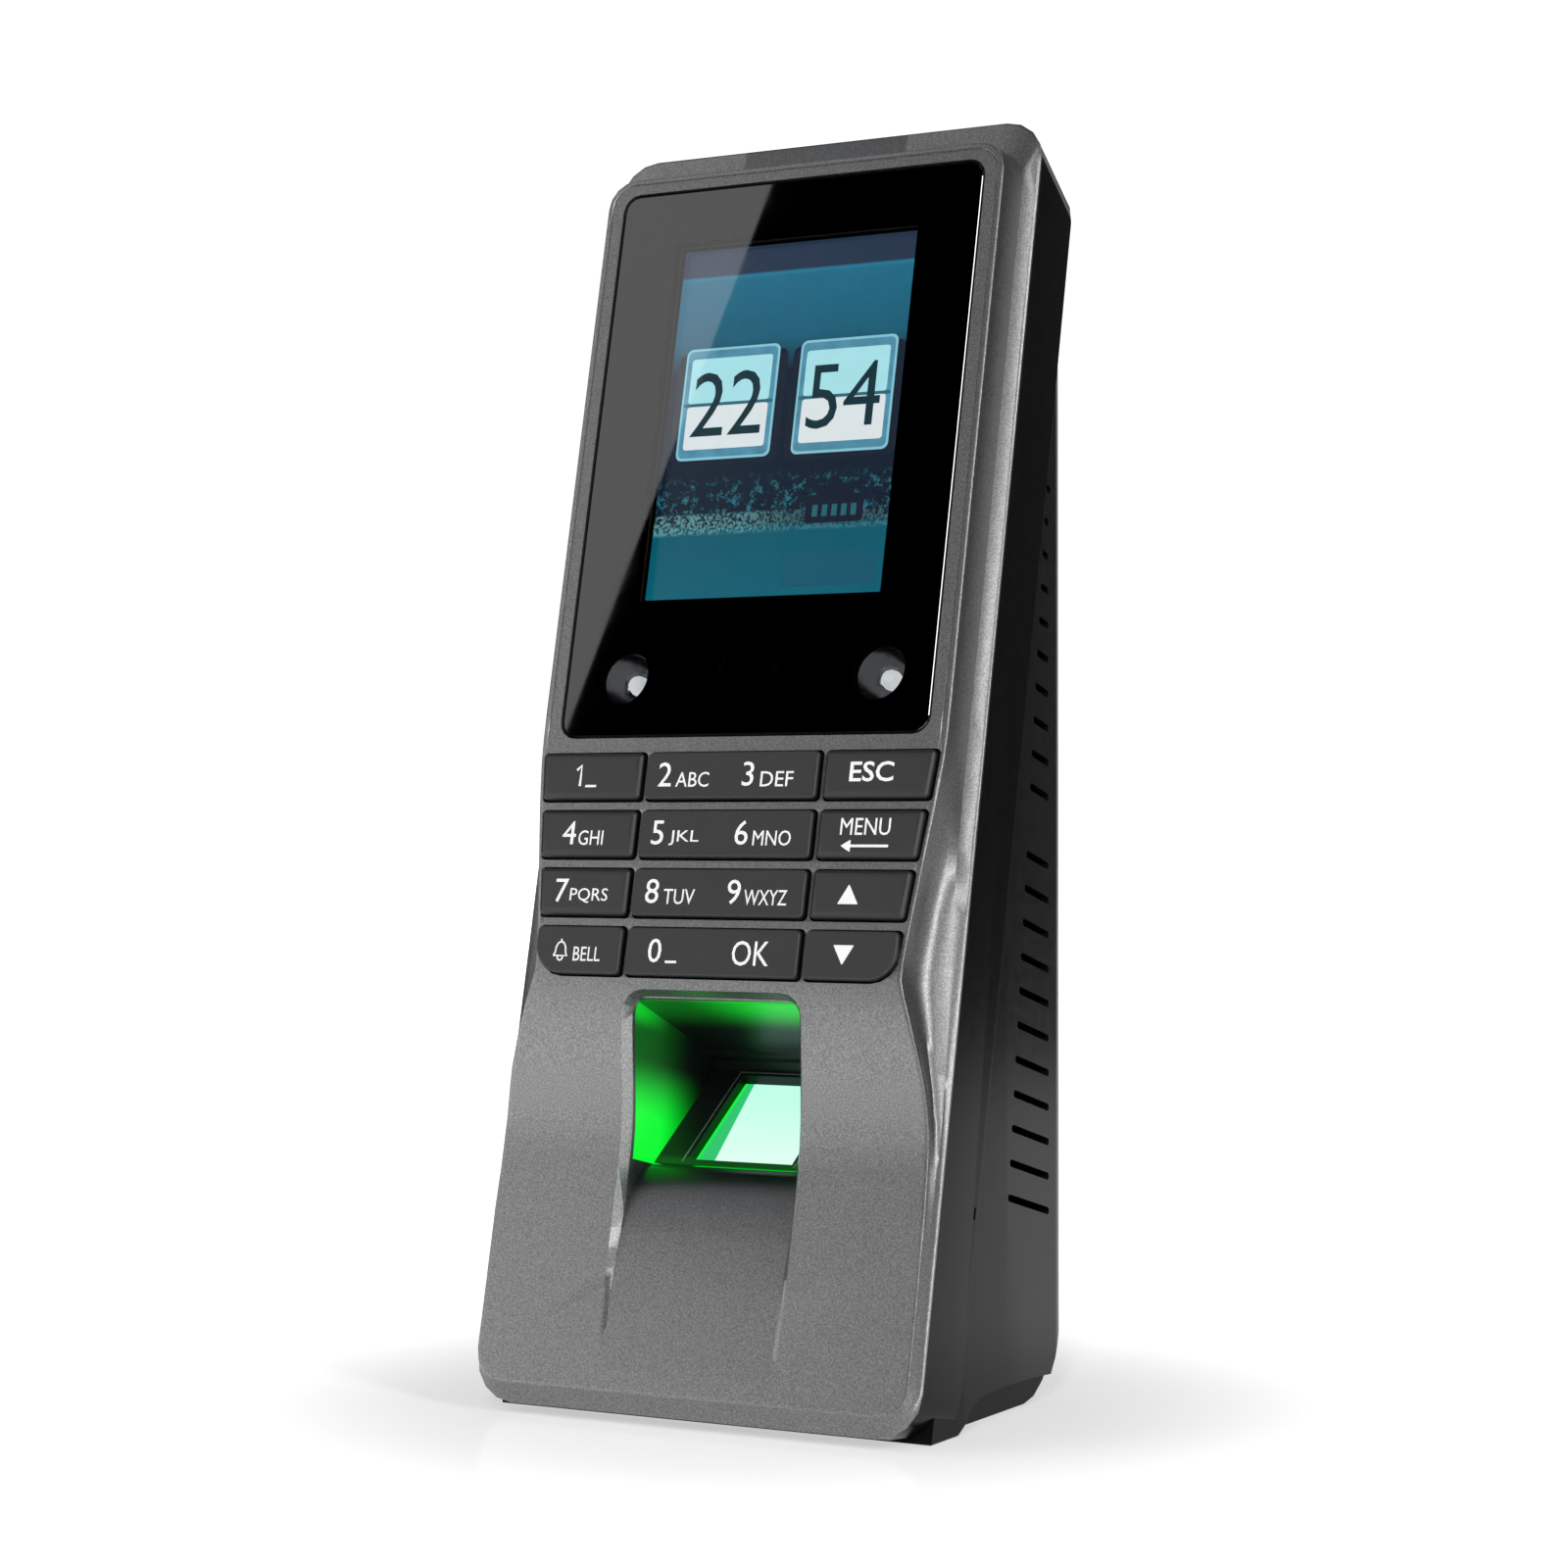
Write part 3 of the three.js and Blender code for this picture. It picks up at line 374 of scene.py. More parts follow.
# ---- materials -----------------------------------------------------------------------------------
def silver_paint(colour):
    """Fine metallic paint, with painted shade down the finger channel, and near-black inside the key
    openings: unpainted plastic that also stands in for the shade in the gaps round the keys.
    """
    finish = Finish("silver_paint")
    x, y, z = finish.on_slab()
    flake = finish.step(finish.noise(0.26, 1.5), 0.34, 0.68)
    dark, light = shades(colour, 0.24)
    flaked = finish.mix(flake, dark, light)
    # painted shade: the paint turns blue-black deep down the finger channel, where shade falls
    channel = finish.within(x, -CHANNEL_HALF, CHANNEL_HALF, 0.8)
    channel_shade = channel * finish.step(z, -3.6, -9.2) * finish.step(y, -80.0, -68.0)
    shaded = finish.mix(channel_shade * 0.88, flaked, (0.03, 0.036, 0.042))
    # near-black inside the key openings: unpainted plastic, and painted shade in the gaps round the keys
    rows = finish.within(y, KEYPAD_LOW, KEYPAD_TOP, 0.3)
    columns = finish.within(x, -KEYPAD_HALF, KEYPAD_HALF, 0.2)
    bare_and_shade = rows * columns * finish.step(z, -0.25, -0.55)
    tone = finish.mix(bare_and_shade, shaded, (0.003, 0.003, 0.003))
    rough = 0.34 + 0.08 * finish.noise(0.5, 2)
    grain = finish.bump(finish.noise(0.18, 2), 0.2, 0.02)
    return finish.surface(Base_Color=tone, Metallic=0.84 - 0.84 * bare_and_shade, Roughness=rough, Normal=grain,
                          Coat_Weight=0.12, Coat_Roughness=0.25)


def moulded(name, colour, roughness, grain=0.35, depth=0.02, spread=0.12, gloss=0.5):
    """Moulded plastic with a fine texture and faint cloudiness."""
    finish = Finish(name)
    dark, light = shades(colour, spread)
    tone = finish.mix(finish.noise(6.0, 3), dark, light)
    rough = roughness - 0.05 + 0.1 * finish.noise(2.0, 3)
    bump = finish.bump(finish.noise(grain, 3, 0.6), 0.35, depth)
    return finish.surface(Base_Color=tone, Roughness=rough, Normal=bump, Specular_IOR_Level=gloss)


def key_plastic(colour):
    """Satin key plastic, moulded with a fine texture, with painted shade turning the keys' sides near
    black.
    """
    finish = Finish("key_plastic")
    z = finish.on_slab()[2]
    dark, light = shades(colour, 0.14)
    tone = finish.mix(finish.noise(4.0, 3), dark, light)
    # painted shade: below the top face the keys' sides darken to near black
    shaded = finish.mix(finish.step(z, KEY_FACE - 0.3, KEY_FACE - 0.6), tone, (0.002, 0.002, 0.002))
    rough = 0.42 + 0.1 * finish.noise(1.5, 2)
    grain = finish.bump(finish.noise(0.25, 3, 0.6), 0.3, 0.012)
    return finish.surface(Base_Color=shaded, Roughness=rough, Normal=grain)


def legend_print(colour):
    """White print with a faint painted glow, a little uneven."""
    finish = Finish("legend_print")
    dark, light = shades(colour, 0.04)
    tone = finish.mix(finish.noise(1.5, 3), dark, light)
    # painted glow: emission that lifts the print's brightness
    glow = finish.mix(finish.noise(1.5, 3), (0.28, 0.28, 0.28), (0.36, 0.36, 0.36))
    return finish.surface(Base_Color=tone, Roughness=0.5, Emission_Color=glow, Emission_Strength=1.0)


def metal(name, colour, roughness, stretch=(1.0, 1.0, 1.0), grain=0.15):
    """Bare metal, with brush marks drawn out along the axes that stretch makes small."""
    finish = Finish(name)
    lines = finish.add("ShaderNodeTexNoise", {
        "Vector": finish.add("ShaderNodeMapping", {"Vector": finish.place(), "Scale": stretch}),
        "Scale": 1 / (grain * MM), "Detail": 3.0})
    dark, light = shades(colour, 0.1)
    tone = finish.mix(lines, dark, light)
    rough = roughness * (0.75 + 0.5 * lines)
    grain_bump = finish.bump(lines, 0.2, 0.01)
    return finish.surface(Base_Color=tone, Metallic=1.0, Roughness=rough, Normal=grain_bump)


def window_openings(finish, x, y):
    """1 over the display, the lamps and the cameras, and 0 over the print round them."""
    margin, blur = 0.725, 0.05
    openings = finish.within(x, LCD_LEFT - margin, LCD_RIGHT + margin, blur)
    openings = openings * finish.within(y, LCD_BOTTOM - margin, LCD_TOP + margin, blur)
    for node in ("lamp_reflector_left", "lamp_reflector_right", "camera_lens_left", "camera_lens_right"):
        low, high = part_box(node)
        centre = SLAB.inverted() @ ((low + high) / 2)
        radius = (high.x - low.x) / 2 / MM
        across = x - centre.x
        up = y - centre.y
        openings = openings + finish.step(across * across + up * up, radius ** 2, (radius - 0.1) ** 2)
    return openings


def window_glass():
    """Polished glass, printed black from behind except over the display, the lamps and the cameras."""
    finish = Finish("window_glass")
    x, y, z = finish.on_slab()
    smear = 0.015 + 0.02 * finish.step(finish.noise(14.0, 4), 0.45, 0.8)
    facing = finish.add("ShaderNodeLayerWeight", {"Blend": 0.5}, output=1)
    square = facing * facing
    front = finish.step(z, -1.2, -0.7)
    fresnel = front * (0.08 + 0.92 * (square * square * facing))
    clear = finish.add("ShaderNodeBsdfTransparent", {"Color": (0.9, 0.92, 0.93)})
    mirror = finish.add("ShaderNodeBsdfGlossy", {"Color": (1.0, 1.0, 1.0), "Roughness": smear})
    glass = finish.add("ShaderNodeMixShader", {0: fresnel, 1: clear, 2: mirror})
    printed = finish.add("ShaderNodeBsdfPrincipled", {
        "Base Color": (0.0, 0.0, 0.0), "Roughness": smear, "Specular IOR Level": 1.0})
    openings = window_openings(finish, x, y)
    return finish.end(finish.add("ShaderNodeMixShader", {0: openings, 1: printed, 2: glass}))


def lit(name, colour, strength=1.0, grain=0.05):
    """A lit area of the display, with the faint unevenness of its backlight."""
    finish = Finish(name)
    dark, light = shades(colour, grain)
    glow = finish.mix(finish.noise(3.0, 2), dark, light)
    return finish.surface(Base_Color=(0.0, 0.0, 0.0), Roughness=0.3, Emission_Color=glow,
                          Emission_Strength=strength)


def picture(sky, water, night):
    """The display's picture: a status bar, sky, the dark middle, a speckled shore and water below."""
    finish = Finish("display_picture")
    x, y, _ = finish.on_slab()
    tall = LCD_TOP - LCD_BOTTOM
    drop = (LCD_TOP - y) * (1 / tall)
    bar, haze = (0.028, 0.045, 0.09), shades(sky, 0.25)[0]
    bands = finish.add("ShaderNodeValToRGB", {0: drop}, stops=[
        (0.0, bar), (0.075, bar), (0.08, shades(sky, 0.4)[1]), (0.09, sky), (0.27, haze), (0.36, night),
        (0.7, night), (0.79, shades(night, 0.2)[0]), (0.81, water), (1.0, shades(water, 0.2)[1])])
    leaves = finish.step(finish.noise(1.3, 6, 0.8), 0.53, 0.6)
    trees = finish.step(drop, 0.64, 0.7) * finish.step(drop, 0.8, 0.74) * leaves
    speckled = finish.mix(trees * 0.85, bands, (0.04, 0.27, 0.34))
    stones = finish.step(finish.noise(0.5, 4, 0.7), 0.46, 0.54)
    shore = finish.step(drop, 0.755, 0.765) * finish.step(drop, 0.822, 0.81) * stones
    edge = shore * (0.35 + 0.65 * finish.step(x, 6.0, -10.0))
    painted = finish.mix(edge * 0.8, speckled, (0.2, 0.5, 0.52))
    ripple = finish.mix(finish.noise(2.4, 4, 0.7) * 0.3, painted, (0.0, 0.03, 0.05))
    return finish.surface(Base_Color=(0.0, 0.0, 0.0), Roughness=0.25, Emission_Color=ripple,
                          Emission_Strength=1.0)


def channel_lining(glow, strength):
    """Smooth black plastic with the prism's green light painted on as emission: strongest low on the walls,
    fading with depth.
    """
    finish = Finish("channel_lining")
    x, y, z = finish.on_slab()
    # painted light: green from the prism on the walls and on the ceiling over it, and a painted reflection
    # on the lower ledge
    wall = finish.step(x, -14.6, -14.85) + finish.step(x, 14.6, 14.85)
    low = finish.step(y, -49.0, -60.0) * finish.step(z, -27.0, -13.0)
    top = finish.step(y, -45.5, -42.5) * finish.step(z, -15.0, -3.0)
    high = 0.1 * finish.step(z, -22.0, -6.0) + 0.5 * top
    ceiling = finish.step(y, -45.4, -44.2) * (1 - wall)
    over = ceiling * finish.step(z, -16.0, -3.5) * (0.12 + 0.5 * finish.step(x, -8.0, 9.0))
    ledge = (1 - wall) * finish.step(y, -63.2, -64.4) * 0.06
    prism_light_mask = wall * (low + high) + over + ledge
    painted_prism_light = finish.mix(prism_light_mask, (0.0, 0.0, 0.0), glow)
    tone = finish.mix(finish.noise(4.0, 2), (0.008, 0.009, 0.01), (0.014, 0.015, 0.016))
    rough = 0.34 + 0.08 * finish.noise(1.5, 2)
    return finish.surface(Base_Color=tone, Roughness=rough, Specular_IOR_Level=0.25, Emission_Color=painted_prism_light,
                          Emission_Strength=strength)


def prism_glow(glow, strength):
    """The lit prism: pale mint with a darker wedge along its left side, greener towards its edges."""
    finish = Finish("prism_glow")
    x, y, z = finish.on_slab()
    rise = PRISM_HIGH.y - PRISM_LOW.y
    up = (y - PRISM_LOW.y) * (1 / rise)
    wedge = finish.step(x + 1.9 * up, -5.2, -5.5)
    pale = finish.mix(finish.step(y, PRISM_LOW.y, PRISM_HIGH.y), (0.72, 1.0, 0.88), (0.52, 1.0, 0.8))
    body = finish.mix(wedge, pale, (0.03, 0.55, 0.16))
    right = finish.step(x, PRISM_HALF - 0.9, PRISM_HALF - 0.1)
    left = finish.step(x, 0.9 - PRISM_HALF, 0.1 - PRISM_HALF)
    lower = finish.step(y, PRISM_LOW.y + 0.5, PRISM_LOW.y + 0.1)
    rim = finish.mix(right + left + lower, body, glow)
    return finish.surface(Base_Color=(0.02, 0.05, 0.03), Roughness=0.08, Emission_Color=rim,
                          Emission_Strength=strength)


def circuit_board():
    """Green solder mask over copper tracks, with tinned pads."""
    finish = Finish("circuit_board")
    cells = finish.add("ShaderNodeTexVoronoi", {
        "Vector": finish.place(), "Scale": 420.0, "Randomness": 0.55}, distance="CHEBYCHEV")
    tracks = finish.step(cells, 0.36, 0.42)
    mask = finish.mix(tracks, (0.008, 0.07, 0.03), (0.02, 0.17, 0.07))
    pads = finish.step(cells, 0.13, 0.1)
    tone = finish.mix(pads, mask, (0.5, 0.5, 0.46))
    return finish.surface(Base_Color=tone, Roughness=0.55 - 0.25 * pads, Metallic=0.8 * pads,
                          Normal=finish.bump(tracks, 0.4, 0.03))


def ribbon_film():
    """Amber film with fine copper tracks along it."""
    finish = Finish("ribbon_film")
    stripes = finish.add("ShaderNodeTexWave", {
        "Vector": finish.place(), "Scale": 320.0, "Distortion": 0.0}, bands_direction="X")
    tone = finish.mix(finish.step(stripes, 0.45, 0.6), (0.32, 0.13, 0.02), (0.6, 0.3, 0.08))
    return finish.surface(Base_Color=tone, Roughness=0.3 + 0.1 * stripes, Coat_Weight=0.3)


def clear_lens(name, colour, roughness=0.05):
    """Dark coated optics with a faint colour cast."""
    finish = Finish(name)
    dark, light = shades(colour, 0.3)
    tone = finish.mix(finish.noise(0.8, 2), dark, light)
    return finish.surface(Base_Color=tone, Roughness=roughness, Coat_Weight=1.0, Coat_Roughness=0.02)


# ---- settings ------------------------------------------------------------------------------------
def colour_setting(name, description, default):
    return FloatVectorProperty(name=name, description=description, subtype="COLOR", size=3, min=0, max=1,
                               default=default)


def power_setting(name, light, default):
    return FloatProperty(name=name, description=f"Power of the {light}, in watts", default=default, min=0)


class CaseSettings(bpy.types.PropertyGroup):
    paint: colour_setting("Paint", "Colour of the front case's metallic paint", (0.2, 0.2, 0.203))
    plastic: colour_setting("Plastic", "Colour of the rear case", (0.008, 0.008, 0.0085))
    edge: FloatProperty(name="Edge", description="Rounding of the front case's edges, in millimetres",
                        default=0.22, min=0, max=0.3)


class KeypadSettings(bpy.types.PropertyGroup):
    plastic: colour_setting("Keys", "Colour of the keys", (0.024, 0.0245, 0.026))
    print_colour: colour_setting("Print", "Colour of the legends", (0.88, 0.88, 0.88))
    corner: FloatProperty(name="Corner", description="Radius of a key's corners, in millimetres",
                          default=0.8, min=0.2, max=2)
    low_corner: FloatProperty(name="Low corner", description="Radius of the keypad's two lowest corners",
                              default=4.6, min=1, max=6)
    edge: FloatProperty(name="Edge", description="Rounding of a key's upper edge, in millimetres",
                        default=0.38, min=0.1, max=0.6)


class DisplaySettings(bpy.types.PropertyGroup):
    hours: StringProperty(name="Hours", description="Digits on the left card", default="22")
    minutes: StringProperty(name="Minutes", description="Digits on the right card", default="54")
    sky: colour_setting("Sky", "Colour above the cards", (0.020, 0.204, 0.330))
    water: colour_setting("Water", "Colour below the shore", (0.003, 0.133, 0.194))
    night: colour_setting("Night", "Colour behind the cards", (0.007, 0.012, 0.03))


class SensorSettings(bpy.types.PropertyGroup):
    glow: colour_setting("Glow", "Colour of the sensor's light", (0.0, 0.95, 0.03))
    strength: FloatProperty(name="Strength", description="Brightness of the sensor's light", default=1.0,
                            min=0, max=10)


class StageSettings(bpy.types.PropertyGroup):
    floor_size: FloatProperty(name="Floor", description="Side of the floor", default=6.0, min=1,
                              unit="LENGTH")
    steps: IntProperty(name="Sweep steps", description="Segments in the backdrop's bend", default=16, min=4)
    softbox: power_setting("Softbox", "box mirrored in the window", 5.0)
    strip: power_setting("Strip", "strip light on the right", 6.5)
    fill: power_setting("Low fill", "low light on the left", 2.2)
    glint: power_setting("Front strip", "narrow strip over the camera", 3.4)
    backlight: power_setting("Backlight", "light over the backdrop", 8.0)


SETTINGS = {
    "terminal_case": CaseSettings,
    "terminal_keypad": KeypadSettings,
    "terminal_display": DisplaySettings,
    "terminal_sensor": SensorSettings,
    "terminal_stage": StageSettings,
}


# ---- the cases -----------------------------------------------------------------------------------
class TERMINAL_OT_front_case(bpy.types.Operator):
    """Adds the painted front case, with its edges eased"""
    bl_idname = "terminal.front_case"
    bl_label = "Front Case"

    def execute(self, context):
        settings = context.scene.terminal_case
        case = refined("front_shell", "front_case", 32, settings.edge)
        dress(case, silver_paint(tuple(settings.paint)), "root")
        return {"FINISHED"}


class TERMINAL_OT_rear_case(bpy.types.Operator):
    """Adds the moulded black rear case with its louvres"""
    bl_idname = "terminal.rear_case"
    bl_label = "Rear Case"

    def execute(self, context):
        settings = context.scene.terminal_case
        case = refined("rear_shell", "rear_case", 32)
        plastic = moulded("case_plastic", tuple(settings.plastic), 0.22, 0.3, 0.006, gloss=0.06)
        dress(case, plastic, "root")
        return {"FINISHED"}


# ---- the keypad ----------------------------------------------------------------------------------
def key_top(row):
    return ROW_TOP - row * ROW_PITCH


def key_sides(row, side):
    """The key's (inner, outer at the top, outer at the bottom) distances from the middle line."""
    if side == 0:
        return -COLUMN_EDGE, COLUMN_EDGE, COLUMN_EDGE
    low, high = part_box(KEY_NAMES[row][2])
    slope = 0.0 if row == 3 else 0.1 * KEY_HEIGHT
    outer = high.x / MM
    return COLUMN_EDGE + BAR, outer, outer - slope


def key_cap(row, side, settings):
    name = KEY_NAMES[row][side + 1]
    top = key_top(row)
    low = top - KEY_HEIGHT
    inner, outer_top, outer_low = key_sides(row, side)
    sign = -1 if side < 0 else 1
    across = sorted((inner * sign, outer_top * sign))
    piece = block("cap_" + name, across, (low, top), (KEY_REAR, KEY_FACE))
    shift = (outer_low - outer_top) * sign
    if shift:
        with editing(piece, verts=lambda v: v.y < low + 0.1 and v.x * sign > (inner + outer_top) / 2):
            bpy.ops.transform.translate(value=(shift, 0, 0))
    corner = settings.corner
    rounded = row == 3 and side != 0

    def upright(a, b):
        return abs(a.z - b.z) > 1

    def is_low_corner(a):
        return rounded and a.y < low + 0.1 and a.x * sign > (inner + outer_top) / 2

    if rounded:
        with editing(piece, edges=lambda a, b: upright(a, b) and is_low_corner(a)):
            bpy.ops.mesh.bevel(offset=settings.low_corner, segments=10, affect="EDGES")
        def is_other_corner(a):
            return a.y > top - 0.1 or a.x * sign < inner + 0.1

        with editing(piece, edges=lambda a, b: upright(a, b) and is_other_corner(a)):
            bpy.ops.mesh.bevel(offset=corner, segments=4, affect="EDGES")
    else:
        with editing(piece, edges=upright):
            bpy.ops.mesh.bevel(offset=corner, segments=4, affect="EDGES")
    ease_front(piece, KEY_FACE, settings.edge, 4)
    smooth(piece, 50)
    modify(piece, "WEIGHTED_NORMAL", keep_sharp=True)
    return settle(piece)


class TERMINAL_OT_key_caps(bpy.types.Operator):
    """Adds the twelve key caps, each with rounded corners and a soft upper edge"""
    bl_idname = "terminal.key_caps"
    bl_label = "Key Caps"

    def execute(self, context):
        settings = context.scene.terminal_keypad
        material = key_plastic(tuple(settings.plastic))
        for row, names in enumerate(KEY_NAMES):
            for side, name in zip((-1, 0, 1), names):
                cap = key_cap(row, side, settings)
                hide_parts(name)
                dress(cap, material, name)
        return {"FINISHED"}


# Big characters on the keys: key, text, left edge, height. Small ones: key, text, left edge, width.
BIG = (
    ("key_2_3", "2", -12.8, 3.8), ("key_2_3", "3", 2.2, 3.8),
    ("key_4", "4", -29.1, 3.7), ("key_5_6", "5", -12.8, 3.8), ("key_5_6", "6", 2.0, 3.8),
    ("key_7", "7", -29.2, 3.7), ("key_8_9", "8", -12.7, 3.8), ("key_8_9", "9", 1.8, 3.8),
    ("key_0_ok", "0", -11.0, 3.7),
)
SMALL = (
    ("key_2_3", "ABC", -9.6, 5.9), ("key_2_3", "DEF", 5.4, 5.7), ("key_4", "GHI", -26.1, 4.5),
    ("key_5_6", "JKL", -9.6, 5.3), ("key_5_6", "MNO", 5.2, 6.6), ("key_7", "PQRS", -26.4, 6.9),
    ("key_8_9", "TUV", -9.4, 5.5), ("key_8_9", "WXYZ", 4.8, 7.4),
)
SMALL_HEIGHT = 2.35
BASE = 1.95  # base line above a key's lower edge
PRINT = KEY_FACE + 0.01


def key_base(name):
    row = next(i for i, names in enumerate(KEY_NAMES) if name in names)
    return key_top(row) - KEY_HEIGHT


def underscore(x, base):
    return block("bar", (x, x + 2.0), (base - 0.05, base + 0.32), (PRINT - 0.02, PRINT + 0.02))


def line_drawing(name, lines, x, y, width):
    """Raised printed lines through lists of points given from (x, y)."""
    curve = bpy.data.curves.new(name, "CURVE")
    curve.dimensions = "3D"
    curve.bevel_depth = width / 2
    curve.bevel_resolution = 1
    for points in lines:
        spline = curve.splines.new("POLY")
        spline.points.add(len(points) - 1)
        for point, (px, py) in zip(spline.points, points):
            point.co = (x + px, y + py, 0, 1)
    piece = bpy.data.objects.new(name, curve)
    bpy.context.scene.collection.objects.link(piece)
    alone(piece)
    bpy.ops.object.convert(target="MESH")
    piece = bpy.context.object
    piece.scale = (1, 1, 0.04 / width)
    piece.location = (0, 0, PRINT)
    apply_place(piece)
    return piece


def bell_icon(x, y):
    """A line drawing of a bell with its clapper."""
    outline = [(-1.25, -0.7), (-0.95, -0.2), (-0.85, 0.7), (-0.5, 1.3), (0, 1.5), (0.5, 1.3), (0.85, 0.7),
               (0.95, -0.2), (1.25, -0.7), (-1.25, -0.7)]
    clapper = [(-0.5, -0.75), (-0.4, -1.25), (0, -1.45), (0.4, -1.25), (0.5, -0.75)]
    knob = [(0, 1.5), (0, 1.95)]
    return line_drawing("bell_line", (outline, clapper, knob), x, y, 0.3)


class TERMINAL_OT_key_legends(bpy.types.Operator):
    """Adds the white legends, joined into one piece on each key"""
    bl_idname = "terminal.key_legends"
    bl_label = "Key Legends"

    def execute(self, context):
        settings = context.scene.terminal_keypad
        marks = {name: [] for names in KEY_NAMES for name in names}
        for name, text, x, height in BIG:
            marks[name].append(lettering(text, x, key_base(name) + BASE, height, PRINT))
        for name, text, x, spread in SMALL:
            marks[name].append(lettering(text, x, key_base(name) + BASE - 0.1, SMALL_HEIGHT, PRINT, spread))
        numeral = [(-0.55, 2.7), (0.25, 3.45), (0.25, 0.15)]
        marks["key_1"].append(line_drawing("one", (numeral,), -27.3, key_base("key_1") + BASE, 0.48))
        marks["key_1"].append(underscore(-26.0, key_base("key_1") + BASE))
        marks["key_0_ok"].append(underscore(-7.8, key_base("key_0_ok") + BASE))
        marks["key_0_ok"].append(lettering("OK", 3.8, key_base("key_0_ok") + BASE - 0.2, 3.8, PRINT, 6.4))
        marks["key_esc"].append(lettering("ESC", 20.7, key_base("key_esc") + 2.5, 3.1, PRINT, 7.4, 0.012))
        marks["key_menu"].append(lettering("MENU", 20.1, key_base("key_menu") + 3.5, 2.6, PRINT, 8.4))
        level = key_base("key_menu") + 1.85
        marks["key_menu"].append(block("arrow_shaft", (21.6, 28.4), (level - 0.2, level + 0.2),
                                       (PRINT - 0.02, PRINT + 0.02)))
        head = triangle("arrow_head", 21.5, level, PRINT, 1.1, math.pi / 2)
        marks["key_menu"].append(head)
        marks["key_up"].append(triangle("up", 22.6, key_base("key_up") + 3.2, PRINT, 2.0, 0))
        marks["key_down"].append(triangle("down", 22.7, key_base("key_down") + 4.2, PRINT, 2.0, math.pi))
        marks["key_bell"].append(lettering("BELL", -24.5, key_base("key_bell") + BASE, 2.2, PRINT, 4.9))
        marks["key_bell"].append(bell_icon(-26.9, key_base("key_bell") + 3.4))
        material = legend_print(tuple(settings.print_colour))
        for name, pieces in marks.items():
            legend = settle(join_all("legend_" + name, pieces))
            dress(legend, material, name)
        return {"FINISHED"}


# ---- the window and the display ------------------------------------------------------------------
def on_lcd(across, down):
    """A point of the display given as fractions from its upper left corner."""
    return LCD_LEFT + across * (LCD_RIGHT - LCD_LEFT), LCD_TOP - down * (LCD_TOP - LCD_BOTTOM)


def lcd_block(name, across, down, rise, corner=0.0, edge=0.0):
    """A block on the display between fractions of its width and height."""
    left, top = on_lcd(across[0], down[0])
    right, bottom = on_lcd(across[1], down[1])
    return block(name, (left, right), (bottom, top), (LCD_FACE, LCD_FACE + rise), corner, edge)


